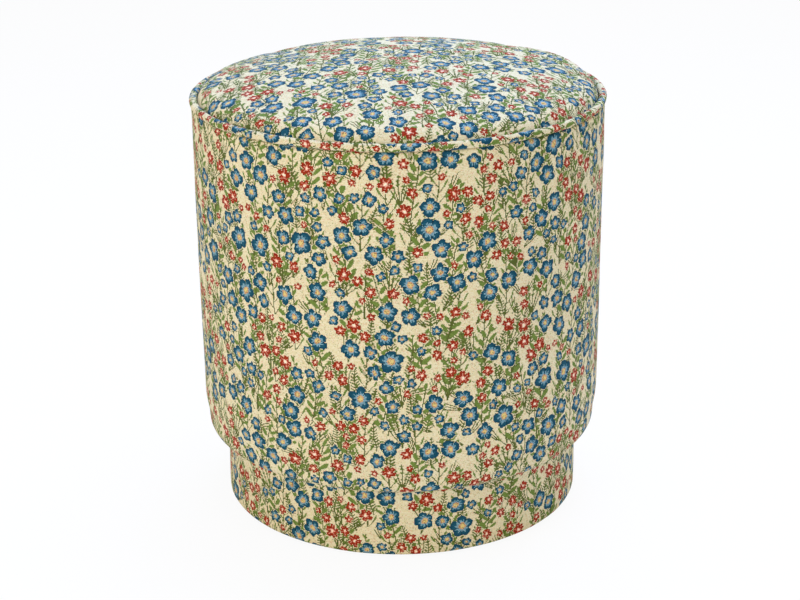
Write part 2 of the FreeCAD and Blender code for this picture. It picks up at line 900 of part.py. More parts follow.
piece(
    turned(
        "piping",
        [
            Line(piping_circle, drum_seam),
            Arc(
                flange_meet,
                flange_top,
                (piping_circle, piping_level),
                size("piping_radius"),
                left=True,
            ),
            Line(turn_in, flange_top),
            Line(turn_in, drum_seam),
        ],
        void=(piping_circle, piping_level, piping_bore),
    )
)
cord = doc.addObject("Part::Torus", "piping_cord_ring")
cord.setExpression("Radius1", piping_circle.text)
cord.setExpression("Radius2", cord_radius.text)
cord.setExpression("Placement.Base.z", piping_level.text)
piece(cord, "piping_cord")

doc.recompute()

faults = [item.Label for item in doc.Objects if {"Invalid", "Error"} & set(item.State)]
for made in pieces:
    if made.Shape.isNull() or not made.Shape.isValid():
        faults.append(made.Label)
if faults:
    raise RuntimeError("These did not build: " + ", ".join(faults))

os.makedirs("parts", exist_ok=True)
for made in pieces:
    made.Shape.exportStep(os.path.join("parts", made.Label + ".step"))
    print("%-22s %3d solids %12.1f mm3" % (made.Label, len(made.Shape.Solids), made.Shape.Volume))
print("%d sub-parts" % len(pieces))
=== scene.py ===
"""A round tuffet in floral tapestry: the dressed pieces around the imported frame.

Sizes inside the classes are millimetres. Meshes are written in metres, in the frame's own axes:
+Z up, the floor at zero, the front towards -Y and the closing seams at the back.
"""

import sys

import json
import logging
import math
import random
from dataclasses import dataclass, field
from enum import Enum
from typing import Callable, Sequence

import bmesh
import bpy
import numpy as np
from mathutils import Matrix, Vector, noise


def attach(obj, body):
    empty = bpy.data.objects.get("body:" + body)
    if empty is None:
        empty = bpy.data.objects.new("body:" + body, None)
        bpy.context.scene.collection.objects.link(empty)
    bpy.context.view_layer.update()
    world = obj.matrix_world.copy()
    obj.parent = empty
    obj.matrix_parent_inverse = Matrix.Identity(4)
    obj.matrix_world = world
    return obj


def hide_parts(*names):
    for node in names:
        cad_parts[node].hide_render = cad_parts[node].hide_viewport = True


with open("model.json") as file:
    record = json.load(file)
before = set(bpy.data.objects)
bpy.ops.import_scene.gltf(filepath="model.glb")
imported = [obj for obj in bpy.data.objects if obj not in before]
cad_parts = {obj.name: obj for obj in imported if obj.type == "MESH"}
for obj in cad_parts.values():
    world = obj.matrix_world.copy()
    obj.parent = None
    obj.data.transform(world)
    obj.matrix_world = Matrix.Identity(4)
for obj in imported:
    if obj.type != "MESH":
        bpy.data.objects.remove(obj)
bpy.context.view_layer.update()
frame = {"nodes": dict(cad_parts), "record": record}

LOG = logging.getLogger("tuffet")
MM = 0.001
BODY = "root"
CLOTH_MAP = "cloth"
BAKE_MAP = "OFBake"
WHITE = (1.0, 1.0, 1.0, 1.0)


# Node trees


def operator(operation: str, reflected: bool = False) -> Callable[["Sig", "Value"], "Sig"]:
    """Makes the method of an operator that adds a Math node.

    Args:
        operation: What the node does.
        reflected: Whether the socket is the operator's right side.

    Returns:
        The method.
    """

    def apply(self: "Sig", other: "Value") -> "Sig":
        """Adds the Math node."""
        sides = (other, self) if reflected else (self, other)
        return self.tree.math(operation, *sides)

    return apply


class Sig:
    """A socket of a node tree, on which Python's operators add Math nodes.

    Comparisons give 1 where they hold and 0 elsewhere. Masks are joined by multiplying.
    """

    def __init__(self, tree: "Tree", socket: bpy.types.NodeSocket) -> None:
        """Keeps the socket and its tree."""
        self.tree = tree
        self.socket = socket

    __add__ = operator("ADD")
    __radd__ = operator("ADD", reflected=True)
    __sub__ = operator("SUBTRACT")
    __rsub__ = operator("SUBTRACT", reflected=True)
    __mul__ = operator("MULTIPLY")
    __rmul__ = operator("MULTIPLY", reflected=True)
    __truediv__ = operator("DIVIDE")
    __rtruediv__ = operator("DIVIDE", reflected=True)
    __pow__ = operator("POWER")
    __mod__ = operator("FLOORED_MODULO")
    __lt__ = operator("LESS_THAN")
    __gt__ = operator("GREATER_THAN")

    def __abs__(self) -> "Sig":
        """Drops the sign."""
        return self.tree.math("ABSOLUTE", self)


Value = Sig | float | int | tuple | str


class Tree:
    """Adds nodes to one node tree."""

    def __init__(self, tree: bpy.types.NodeTree) -> None:
        """Keeps the tree."""
        self.tree = tree

    def link(self, value: Value, socket: bpy.types.NodeSocket) -> None:
        """Links a socket, or sets it where the value is plain or a written colour."""
        if isinstance(value, Sig):
            self.tree.links.new(value.socket, socket)
        elif isinstance(value, str) and socket.type == "RGBA":
            socket.default_value = paint(value)
        else:
            socket.default_value = value

    def end(self, kind: str, value: Value) -> None:
        """Adds the tree's output node and links its first input."""
        self.link(value, self.tree.nodes.new(kind).inputs[0])

    def add(self, kind: str, settings: dict, values: dict, out: int | str = 0) -> Sig:
        """Adds a node.

        Args:
            kind: The node's type.
            settings: Its properties, set before its sockets. "stops" are a ramp's.
            values: A value or a link for each named or numbered input.
            out: The output to give back.

        Returns:
            The chosen output.
        """
        made = self.tree.nodes.new(kind)
        for name, setting in settings.items():
            if name == "stops":
                ramp = made.color_ramp.elements
                while len(ramp) < len(setting):
                    ramp.new(1.0)
                for element, (place, colour) in zip(ramp, setting):
                    element.position = place
                    element.color = paint(colour)
            else:
                setattr(made, name, setting)
        for key, value in values.items():
            self.link(value, made.inputs[key])
        return Sig(self, made.outputs[out])

    def math(self, operation: str, *values: Value) -> Sig:
        """Adds a Math node."""
        return self.add("ShaderNodeMath", {"operation": operation}, dict(enumerate(values)))

    def vector(self, operation: str, *values: Value, out: int = 0) -> Sig:
        """Adds a Vector Math node, whose output 1 is a number."""
        return self.add("ShaderNodeVectorMath", {"operation": operation}, dict(enumerate(values)), out)

    def scaled(self, place: Value, factor: Value) -> Sig:
        """Multiplies a vector by one number."""
        values = {"Vector": place, "Scale": factor}
        return self.add("ShaderNodeVectorMath", {"operation": "SCALE"}, values)

    def joined(self, x: Value, y: Value, z: Value = 0.0) -> Sig:
        """Makes a vector of three numbers."""
        return self.add("ShaderNodeCombineXYZ", {}, {"X": x, "Y": y, "Z": z})

    def split(self, place: Value) -> tuple[Sig, Sig, Sig]:
        """Gives the three numbers of a vector."""
        first = self.add("ShaderNodeSeparateXYZ", {}, {"Vector": place})
        outputs = first.socket.node.outputs
        return first, Sig(self, outputs[1]), Sig(self, outputs[2])

    def blend(self, factor: Value, first: Value, second: Value) -> Sig:
        """Mixes two colours."""
        values = {0: factor, 6: first, 7: second}
        return self.add("ShaderNodeMix", {"data_type": "RGBA"}, values, 2)

    def shade(self, colour: Value, factor: Value) -> Sig:
        """Multiplies a colour by a number, as light or dirt does."""
        grey = self.add("ShaderNodeCombineColor", {}, {0: factor, 1: factor, 2: factor})
        settings = {"data_type": "RGBA", "blend_type": "MULTIPLY"}
        return self.add("ShaderNodeMix", settings, {0: 1.0, 6: colour, 7: grey}, 2)

    def choose(self, factor: Value, first: Value, second: Value) -> Sig:
        """Mixes two vectors."""
        values = {0: factor, 4: first, 5: second}
        return self.add("ShaderNodeMix", {"data_type": "VECTOR"}, values, 1)

    def cloud(self, place: Value, scale: float, detail: float = 2.0, out: int = 0) -> Sig:
        """Adds a Noise Texture. Output 0 is a number and 1 a colour."""
        values = {"Vector": place, "Scale": scale, "Detail": detail}
        return self.add("ShaderNodeTexNoise", {"noise_dimensions": "3D"}, values, out)

    def drift(self, place: Value, scale: float, detail: float) -> Sig:
        """Gives a random vector round zero that changes smoothly from place to place."""
        return self.vector("SUBTRACT", self.cloud(place, scale, detail, 1), (0.5, 0.5, 0.5))

    def speck(self, place: Value, out: int = 0) -> Sig:
        """Gives one random number for each place, or three of them as output 1."""
        settings = {"noise_dimensions": "3D"}
        return self.add("ShaderNodeTexWhiteNoise", settings, {"Vector": place}, out)

    def turned(self, place: Value, angle: Value) -> Sig:
        """Turns a vector round the third axis."""
        values = {"Vector": place, "Angle": angle}
        return self.add("ShaderNodeVectorRotate", {"rotation_type": "Z_AXIS"}, values)

    def ramp(self, factor: Value, *stops: tuple[float, str]) -> Sig:
        """Adds a colour ramp with written colours."""
        return self.add("ShaderNodeValToRGB", {"stops": stops}, {"Fac": factor})

    def fit(self, value: Value, low: float, high: float, to_low: float, to_high: float) -> Sig:
        """Carries a range over to another, and stays inside it."""
        values = {0: value, 1: low, 2: high, 3: to_low, 4: to_high}
        return self.add("ShaderNodeMapRange", {}, values)


def emptied(holder: bpy.types.Material | bpy.types.World) -> Tree:
    """Gives a material or a world a node tree without nodes."""
    holder.use_nodes = True
    holder.node_tree.nodes.clear()
    return Tree(holder.node_tree)


def paint(code: str) -> tuple[float, float, float, float]:
    """Turns a written colour such as d8c06a into the linear values that a node takes."""
    channels = [int(code[start : start + 2], 16) / 255 for start in (0, 2, 4)]
    linear = [c / 12.92 if c <= 0.04045 else ((c + 0.055) / 1.055) ** 2.4 for c in channels]
    return linear[0], linear[1], linear[2], 1.0


# Finishes


@dataclass(frozen=True)
class Finish:
    """A procedural material and the record's slot that it stands for."""

    slot: str = ""

    def colours(self, tree: Tree) -> dict[str, Value]:
        """Gives the values of the surface shader's sockets."""
        raise NotImplementedError

    def material(self) -> bpy.types.Material:
        """Builds the material, or gives back the one built before.

        Returns:
            The material, named after its slot.
        """
        name = "finish_" + self.slot
        known = bpy.data.materials.get(name)
        if known is not None:
            return known
        made = bpy.data.materials.new(name)
        tree = emptied(made)
        surface = tree.add("ShaderNodeBsdfPrincipled", {}, self.colours(tree))
        tree.end("ShaderNodeOutputMaterial", surface)
        return made

    def bump(self, tree: Tree, height: Value, depth: float, strength: float = 1.0) -> Sig:
        """Turns a height from 0 to 1 into a normal. The depth is in millimetres."""
        values = {"Strength": strength, "Distance": depth * MM, "Height": height}
        return tree.add("ShaderNodeBump", {}, values)

    def skin(
        self, tree: Tree, tone: Value, rough: Value, height: Value, depth: float, strength: float = 1.0
    ) -> dict[str, Value]:
        """The sockets' values for a plain surface, with the bump's height, depth and strength."""
        normal = self.bump(tree, height, depth, strength)
        return {"Base Color": tone, "Roughness": rough, "Normal": normal}

    def place(self, tree: Tree) -> Sig:
        """Object coordinates, in millimetres."""
        return tree.scaled(tree.add("ShaderNodeTexCoord", {}, {}, "Object"), 1 / MM)


class Kind(Enum):
    """What grows in the meadow."""

    BLUE = "blue"
    RED = "red"
    FAN = "fan"
    BRANCH = "branch"
    FERN = "fern"
    SPRIG = "sprig"
    GRASS = "grass"


@dataclass(frozen=True)
class Growth:
    """One kind of placed motif: its size, to which a size class adds a step, and its usual classes."""

    kind: Kind
    first: float
    step: float
    margin: float
    sizes: tuple[int, ...]

    def reach(self, size: int) -> float:
        """A flower's radius or a fan's length."""
        return self.first + self.step * size

    def radius(self, size: int) -> float:
        """The radius of the motif. A fan's place is its middle."""
        return self.reach(size) / 2 if self.kind is Kind.FAN else self.reach(size)


GROWTHS = {
    Kind.BLUE: Growth(Kind.BLUE, 3.2, 2.3, 1.3, (1, 1, 2)),
    Kind.RED: Growth(Kind.RED, 2.4, 1.8, 1.1, (1, 2, 2, 3)),
    Kind.FAN: Growth(Kind.FAN, 28.0, 5.0, 1.0, (1, 1, 2, 3)),
}
FLOWERS = (Kind.BLUE, Kind.RED)
FAN_STEMS = 2
FAN_SPREAD = 9.5
FAN_CURVE = 1.5
FAN_SHORTER = 0.1


@dataclass(frozen=True)
class Spot:
    """Where one motif stands in the repeat."""

    kind: Kind
    x: float
    y: float
    size: int
    turn: float

    @property
    def room(self) -> float:
        """The radius that others keep clear of."""
        return GROWTHS[self.kind].radius(self.size)

    @property
    def code(self) -> float:
        """The size class, with the turn as its fraction."""
        return self.size + self.turn / math.tau % 1.0


@dataclass
class Meadow:
    """The builder's own layout of flowers and fans over one half-drop repeat of the cloth."""

    width: float
    height: float
    seed: int = 11
    fans: int = 30
    fan_tries: int = 900
    fan_gap: float = 0.88
    fan_lean: float = 0.6
    blue_fans: float = 0.25
    bare_tips: float = 0.12
    tip_place: float = 0.93
    tip_gap: float = 0.92
    blue_groups: int = 38
    group_tries: int = 2500
    group_sizes: tuple[int, ...] = (3, 3, 4)
    neighbours: tuple[int, ...] = (1, 2, 2, 3)
    neighbour_tries: int = 8
    neighbour_sizes: tuple[int, ...] = (1, 2, 2, 3, 3)
    neighbour_room: tuple[float, float] = (-0.6, 2.5)
    neighbour_gap: float = 0.95
    fill_tries: int = 4000
    blues: int = 152
    blue_room: float = 0.8
    reds: int = 132
    red_room: float = 0.4
    spots: list[Spot] = field(default_factory=list)

    def __post_init__(self) -> None:
        """Sows the repeat."""
        self.draw = random.Random(self.seed)
        self.sow_fans()
        self.sow_blue()
        self.fill_in(Kind.BLUE, self.blues, self.blue_room)
        self.fill_in(Kind.RED, self.reds, self.red_room)

    def apart(self, x: float, y: float, spot: Spot) -> float:
        """The distance to a spot over the repeat, whose next column is dropped by half."""
        best = math.inf
        for column in (-1, 0, 1):
            across = x - spot.x + column * self.width
            up = y - spot.y + column * self.height / 2
            up -= self.height * round(up / self.height)
            best = min(best, math.hypot(across, up))
        return best

    def plant(self, kind: Kind, x: float, y: float, size: int, turn: float) -> None:
        """Adds a spot, carried into the repeat."""
        column = math.floor(x / self.width)
        x -= column * self.width
        y = (y + column * self.height / 2) % self.height
        self.spots.append(Spot(kind, x, y, size, turn))

    def clear(self, x: float, y: float, radius: float, share: float, kinds: Sequence[Kind]) -> bool:
        """Tells whether a disc stays clear of the discs of some kinds, by a share of their sum."""
        others = [spot for spot in self.spots if spot.kind in kinds]
        return all(self.apart(x, y, spot) >= (radius + spot.room) * share for spot in others)

    def anywhere(self) -> tuple[float, float]:
        """A random place in the repeat."""
        return self.draw.uniform(0, self.width), self.draw.uniform(0, self.height)

    def count(self, kind: Kind) -> int:
        """How many spots of one kind there are."""
        return sum(spot.kind is kind for spot in self.spots)

    def any_turn(self) -> float:
        """A random angle."""
        return self.draw.uniform(0, math.tau)

    def sow_fans(self) -> None:
        """Plants fans of stems, then a flower or a bud at most of their tips."""
        growth = GROWTHS[Kind.FAN]
        for _attempt in range(self.fan_tries):
            if self.count(Kind.FAN) >= self.fans:
                break
            x, y = self.anywhere()
            size = self.draw.choice(growth.sizes)
            if self.clear(x, y, growth.radius(size), self.fan_gap, [Kind.FAN]):
                self.plant(Kind.FAN, x, y, size, self.draw.uniform(-self.fan_lean, self.fan_lean))
        for fan in list(self.spots):
            self.sow_tips(fan)

    def sow_tips(self, fan: Spot) -> None:
        """Plants the flowers of one fan, all of one colour."""
        length = GROWTHS[Kind.FAN].reach(fan.size)
        kind = Kind.BLUE if self.draw.random() < self.blue_fans else Kind.RED
        growth = GROWTHS[kind]
        for stem in range(-FAN_STEMS, FAN_STEMS + 1):
            if self.draw.random() < self.bare_tips:
                continue
            up = length * (1 - FAN_SHORTER * abs(stem)) * self.tip_place
            across = stem * FAN_SPREAD * (up / length) ** FAN_CURVE
            up -= length / 2
            x = fan.x + across * math.cos(fan.turn) + up * math.sin(fan.turn)
            y = fan.y + up * math.cos(fan.turn) - across * math.sin(fan.turn)
            size = self.draw.choice(growth.sizes)
            if self.clear(x, y, growth.reach(size), self.tip_gap, FLOWERS):
                self.plant(kind, x, y, size, self.any_turn())

    def sow_blue(self) -> None:
        """Plants blue flowers in loose groups of a large one and its neighbours."""
        groups = 0
        for _attempt in range(self.group_tries):
            if groups >= self.blue_groups:
                break
            x, y = self.anywhere()
            size = self.draw.choice(self.group_sizes)
            radius = GROWTHS[Kind.BLUE].reach(size)
            if not self.clear(x, y, radius, 1.0, FLOWERS):
                continue
            self.plant(Kind.BLUE, x, y, size, self.any_turn())
            groups += 1
            for _neighbour in range(self.draw.choice(self.neighbours)):
                self.sow_neighbour(x, y, radius)

    def sow_neighbour(self, x: float, y: float, radius: float) -> None:
        """Plants one blue flower beside another, where a few tries find room."""
        for _attempt in range(self.neighbour_tries):
            size = self.draw.choice(self.neighbour_sizes)
            other = GROWTHS[Kind.BLUE].reach(size)
            way = self.any_turn()
            far = radius + other + self.draw.uniform(*self.neighbour_room)
            near_x, near_y = x + far * math.cos(way), y + far * math.sin(way)
            if self.clear(near_x, near_y, other, self.neighbour_gap, FLOWERS):
                self.plant(Kind.BLUE, near_x, near_y, size, self.any_turn())
                break

    def fill_in(self, kind: Kind, most: int, room: float) -> None:
        """Plants flowers of one kind wherever there is room, until there are enough.

        Args:
            kind: The kind of flower.
            most: How many of the kind the repeat may hold.
            room: Bare cloth kept round each of them.
        """
        for _attempt in range(self.fill_tries):
            if self.count(kind) >= most:
                break
            x, y = self.anywhere()
            size = self.draw.choice(GROWTHS[kind].sizes)
            if self.clear(x, y, GROWTHS[kind].reach(size) + room, 1.0, FLOWERS):
                self.plant(kind, x, y, size, self.any_turn())

    def ghosts(self, kind: Kind) -> list[tuple[float, float, float, float]]:
        """The kind's discs that touch the repeat, with the copies that reach over its edges.

        Args:
            kind: The kind of motif.

        Returns:
            Centre, disc radius and code of each.
        """
        found = []
        copies = [(0, -1), (0, 0), (0, 1)]
        copies += [(side, half) for side in (-1, 1) for half in (-1.5, -0.5, 0.5, 1.5)]
        for spot in self.spots:
            if spot.kind is not kind:
                continue
            disc = spot.room + GROWTHS[kind].margin
            for column, row in copies:
                x = spot.x + column * self.width
                y = spot.y + row * self.height
                gap_x = max(-x, 0, x - self.width)
                gap_y = max(-y, 0, y - self.height)
                if math.hypot(gap_x, gap_y) < disc:
                    found.append((round(x, 3), round(y, 3), disc, round(spot.code, 4)))
        return found


@dataclass(frozen=True)
class Scatter:
    """Greens of one kind strewn over the repeat, at most one in each cell of a brick-like net."""

    kind: Kind
    columns: int
    rows: int
    length: tuple[float, float]
    lean: float
    share: float
    loose: tuple[float, float]
    shift: float
    tones: tuple[str, str]

    def motif(self, tree: Tree, place: Sig, size: tuple[float, float]) -> "Motif":
        """The motif of the cell that a place belongs to.

        Args:
            tree: The material's tree.
            place: The place in the repeat.
            size: The repeat's width and height.

        Returns:
            The motif's coordinates.
        """
        wide, tall = size[0] / self.columns, size[1] / self.rows
        x, y, _z = tree.split(place)
        column = tree.math("FLOOR", x / wide)
        level = y / tall + (column % 2.0) * 0.5 + self.shift
        row = tree.math("FLOOR", level)
        cell = tree.joined(column, row % float(self.rows), self.shift * 17.0)
        lean, long, luck = tree.split(tree.speck(cell, 1))
        off_x = x - (column + 0.5) * wide - ((lean * 7.3) % 1.0 - 0.5) * (self.loose[0] * 2)
        off_y = (level - row - 0.5) * tall - ((luck * 5.7) % 1.0 - 0.5) * (self.loose[1] * 2)
        turn = (lean - 0.5) * (self.lean * 2)
        turned = tree.turned(tree.joined(off_x, off_y), turn)
        across, up, _z = tree.split(turned)
        reach = self.length[0] + long * (self.length[1] - self.length[0])
        return Motif(tree, across, up, reach, turn + long, luck < self.share)


@dataclass(frozen=True)
class TapestryFinish(Finish):
    """Flat-woven floral tapestry: cream ground, blue and red flowers, olive greens."""

    slot: str = "tapestry"
    repeat: tuple[float, float] = (325.152, 288.0)
    threads: tuple[int, int] = (360, 360)
    sway: float = 2.6
    ragged_flowers: float = 1.9
    ragged_greens: float = 0.8
    cream: str = "e6dbba"
    cream_deep: str = "d0c08f"
    cream_fleck: str = "d3967b"
    cream_shade: str = "9d9565"
    deep_blue: str = "0f3f4f"
    mid_blue: str = "1e586b"
    pale_blue: str = "8bb0b6"
    dark_blue: str = "0a2633"
    heart: str = "d3bd72"
    heart_rim: str = "cb9d6c"
    heart_brown: str = "7a4a28"
    red: str = "9b2f14"
    deep_red: str = "7a2010"
    pink: str = "e09d82"
    leaf: str = "6c8038"
    deep_leaf: str = "57672b"
    stem: str = "525a26"

    def greens_strewn(self) -> tuple[Scatter, ...]:
        """The layers of greens, from the lowest to the highest."""
        dark, fresh = (self.stem, self.deep_leaf), (self.leaf, self.deep_leaf)
        return (
            Scatter(Kind.GRASS, 16, 12, (15.0, 21.0), 0.9, 0.4, (1.5, 1.5), 0.45, dark),
            Scatter(Kind.GRASS, 10, 8, (22.0, 30.0), 1.4, 0.6, (2.0, 3.0), 0.3, dark),
            Scatter(Kind.BRANCH, 14, 4, (54.0, 67.0), 0.12, 0.93, (2.0, 3.0), 0.0, fresh),
            Scatter(Kind.FERN, 18, 8, (25.0, 34.0), 0.28, 0.64, (1.5, 1.5), 0.6, dark),
            Scatter(Kind.SPRIG, 10, 5, (41.0, 51.0), 0.24, 0.84, (3.0, 2.0), 0.15, fresh),
        )

    def picks(self, meadow: Meadow, kind: Kind) -> bpy.types.NodeTree:
        """A node group that finds the motif of one kind that a place belongs to.

        Args:
            meadow: The layout.
            kind: The kind of motif.

        Returns:
            A group from a place in the repeat to the motif's centre and code, or zeros.
        """
        group = bpy.data.node_groups.new("picks_" + kind.value, "ShaderNodeTree")
        group.interface.new_socket("Place", in_out="INPUT", socket_type="NodeSocketVector")
        group.interface.new_socket("Pick", in_out="OUTPUT", socket_type="NodeSocketVector")
        tree = Tree(group)
        place = tree.add("NodeGroupInput", {}, {})
        found: Value = (0.0, 0.0, 0.0)
        for x, y, disc, code in meadow.ghosts(kind):
            away = tree.vector("DISTANCE", place, (x, y, 0.0), out=1)
            found = tree.choose(away < disc, found, (x, y, code))
        tree.end("NodeGroupOutput", found)
        return group

    def motif(self, tree: Tree, meadow: Meadow, kind: Kind, place: Sig) -> "Motif":
        """The motif that a place belongs to, in the motif's own axes.

        Args:
            tree: The material's tree.
            meadow: The layout.
            kind: The kind of motif.
            place: The place in the repeat.

        Returns:
            The motif's coordinates.
        """
        pick = tree.add("ShaderNodeGroup", {"node_tree": self.picks(meadow, kind)}, {0: place})
        _x, _y, code = tree.split(pick)
        size = tree.math("FLOOR", code)
        turn = (code - size) * math.tau
        across, up, _z = tree.split(tree.turned(tree.vector("SUBTRACT", place, pick), turn))
        growth = GROWTHS[kind]
        return Motif(tree, across, up, growth.first + growth.step * size, turn, code > 0.5)

    def wrapped(self, tree: Tree, at: Sig) -> Sig:
        """Carries a place on the cloth into the half-drop repeat."""
        wide, tall = self.repeat
        x, y, _none = tree.split(at)
        column = tree.math("FLOOR", x / wide)
        return tree.joined(x - column * wide, (y + (column % 2.0) * (tall / 2)) % tall)

    def colours(self, tree: Tree) -> dict[str, Value]:
        """Weaves the meadow.

        Args:
            tree: The material's tree.

        Returns:
            The values of the surface shader's sockets.
        """
        meadow = Meadow(*self.repeat)
        thread_x, thread_y = [side / count for side, count in zip(self.repeat, self.threads)]
        uv = tree.add("ShaderNodeUVMap", {"uv_map": CLOTH_MAP}, {})
        run_x, run_y, _none = tree.split(tree.scaled(uv, 1 / MM))
        cell_x = tree.math("FLOOR", run_x / thread_x)
        cell_y = tree.math("FLOOR", run_y / thread_y)
        cell = tree.joined(cell_x, cell_y)
        middle = tree.joined((cell_x + 0.5) * thread_x, (cell_y + 0.5) * thread_y)
        sway = tree.drift(middle, 0.045, 1.0)
        swayed = tree.vector("ADD", middle, tree.scaled(sway, self.sway * 2))
        ragged = tree.drift(middle, 0.42, 0.0)
        near = tree.vector("ADD", swayed, tree.scaled(ragged, self.ragged_greens))
        far = tree.vector("ADD", swayed, tree.scaled(ragged, self.ragged_flowers))
        green_place, place = self.wrapped(tree, near), self.wrapped(tree, far)
        grain = tree.speck(cell)
        other = tree.speck(tree.vector("ADD", cell, (17.3, 5.1, 3.7)))
        ground = self.ground(tree, cell_y, grain, other)
        cloth = ground
        for scatter in self.greens_strewn():
            motif = scatter.motif(tree, green_place, self.repeat)
            cloth = self.greens(motif, scatter.kind, cloth, grain, scatter.tones)
        fans = self.motif(tree, meadow, Kind.FAN, green_place)
        cloth = self.greens(fans, Kind.FAN, cloth, grain, (self.leaf, self.deep_leaf))
        reds = self.motif(tree, meadow, Kind.RED, place)
        cloth = self.red_flower(reds, cloth, ground, grain)
        blues = self.motif(tree, meadow, Kind.BLUE, place)
        cloth, blue = self.blue_flower(blues, cloth, ground, grain, other)
        # Painted sheen: the cloth is made lighter or darker thread by thread and row by row, over the
        # dye's uneven patches.
        cloth = tree.shade(cloth, self.dye_and_thread_sheen(tree, run_x, run_y, cell_y, grain))
        rib = abs(tree.math("SINE", run_y * (math.pi / thread_y)))
        across_rib = abs(tree.math("SINE", run_x * (math.pi / thread_x)))
        height = rib * 0.6 + across_rib * 0.2 + tree.cloud(middle, 0.9, 1.0) * 0.5
        return {
            "Base Color": cloth,
            "Roughness": 0.92 - blue * 0.08,
            "Normal": self.bump(tree, height, 0.16, 0.8),
            "Sheen Weight": 0.02,
            "Sheen Roughness": 0.5,
            "Specular IOR Level": 0.12,
        }

    def ground(self, tree: Tree, row: Sig, grain: Sig, other: Sig) -> Sig:
        """The cream ground with coloured flecks, and every other row painted darker as the shade
        between its ribs.
        """
        base = tree.blend(grain, self.cream, self.cream_deep)
        # Painted shade: every other row is darker, as the shade between the ribs.
        base = tree.blend((row % 2.0) * 0.45, base, self.cream_deep)
        base = tree.blend((other > 0.93) * 0.6, base, self.cream_fleck)
        return tree.blend((other < 0.06) * 0.7, base, self.cream_shade)

    def dye_and_thread_sheen(self, tree: Tree, run_x: Sig, run_y: Sig, row: Sig, grain: Sig) -> Sig:
        """Slight unevenness of the dye in large patches, and painted sheen of the threads that differs
        from row to row and from thread to thread.
        """
        patch = tree.cloud(tree.joined(run_x, run_y, 4.0), 0.012, 2.0)
        # Each row and each thread is painted a little lighter or darker, as painted sheen; the large
        # patches are the dye's.
        weft = tree.speck(tree.joined(row, 3.0, 9.0))
        return 0.9 + patch * 0.08 + weft * 0.05 + grain * 0.08

    def greens(
        self, motif: "Motif", kind: Kind, under: Sig, grain: Sig, tones: Sequence[str]
    ) -> Sig:
        """Lays the stems and leaves of one kind over the cloth.

        Args:
            motif: The motif's coordinates.
            kind: The kind of green.
            under: The colour under it.
            grain: A random number for each thread.
            tones: The leaves' two colours, the first on most threads.

        Returns:
            The cloth's colour.
        """
        tree = motif.tree
        stems, leaves = motif.green(kind)
        cloth = tree.blend(stems, under, self.stem)
        if leaves is None:
            return cloth
        tone = tree.blend((grain > 0.6) * 0.75, tones[0], tones[1])
        return tree.blend(leaves, cloth, tone)

    def red_flower(self, motif: "Motif", under: Sig, ground: Sig, grain: Sig) -> Sig:
        """Lays small red star flowers over the cloth.

        Args:
            motif: The motif's coordinates.
            under: The colour under them.
            ground: The bare cloth, which shows as a thin rim round each.
            grain: A random number for each thread.

        Returns:
            The cloth's colour.
        """
        tree = motif.tree
        far, angle = motif.polar()
        petal = abs(tree.math("COSINE", angle * 2.5))
        edge = 0.42 + petal**0.6 * 0.58 - (petal > 0.96) * 0.14
        share = far / motif.reach
        rim = (far < edge * motif.reach + 0.5) * motif.there
        cloth = tree.blend(rim, under, ground)
        body = tree.blend(grain > 0.6, self.red, self.deep_red)
        vein = (petal > 0.93) * (share < edge * 0.75)
        body = tree.blend(vein * (grain > 0.45) * 0.7, body, self.pink)
        body = tree.blend(share < 0.2 + grain * 0.14, body, self.pink)
        body = tree.blend(share < 0.17, body, self.cream)
        return tree.blend((share < edge) * motif.there, cloth, body)

    def blue_flower(
        self, motif: "Motif", under: Sig, ground: Sig, grain: Sig, other: Sig
    ) -> tuple[Sig, Sig]:
        """Lays blue flowers of four or five uneven lobes over the cloth.

        Args:
            motif: The motif's coordinates.
            under: The colour under them.
            ground: The bare cloth, which shows as a thin rim round each.
            grain: A random number for each thread.
            other: Another random number for each thread.

        Returns:
            The cloth's colour, and a mask of the flowers.
        """
        tree = motif.tree
        far, angle = motif.polar()
        lobes = 2.5 - ((motif.turn * 9.0) % 1.0 < 0.35) * 0.5
        lobe = abs(tree.math("COSINE", angle * lobes))
        uneven = tree.math("COSINE", angle + motif.turn * 7.0)
        uneven = uneven + tree.math("COSINE", angle * 3.0 + motif.turn * 11.0) * 0.8
        edge = 0.64 + lobe**0.65 * 0.32 + uneven * 0.05
        share = far / motif.reach
        rim = (far < edge * motif.reach + 0.5) * motif.there
        cloth = tree.blend(rim, under, ground)
        body = tree.blend(0.1 + grain * 0.75, self.mid_blue, self.deep_blue)
        outer = share > edge * 0.7 + other * 0.12
        body = tree.blend(outer * 0.9, body, self.deep_blue)
        split = (lobe < 0.17) * (share > 0.36)
        body = tree.blend(split * 0.8, body, self.dark_blue)
        streak = tree.math("COSINE", angle * 11.0 + motif.turn * 5.0) * 0.1
        ring = (share > 0.27) * (share < 0.46 + streak + other * 0.1) * (lobe > 0.14)
        body = tree.blend(ring * (0.36 + grain * 0.5), body, self.pale_blue)
        heart = share < 0.26 + other * 0.06
        warm = tree.blend(share > 0.17, self.heart, self.heart_rim)
        warm = tree.blend((grain > 0.8) * 0.8, warm, self.heart_brown)
        body = tree.blend(heart, body, warm)
        flower = (share < edge) * motif.there
        return tree.blend(flower, cloth, body), flower


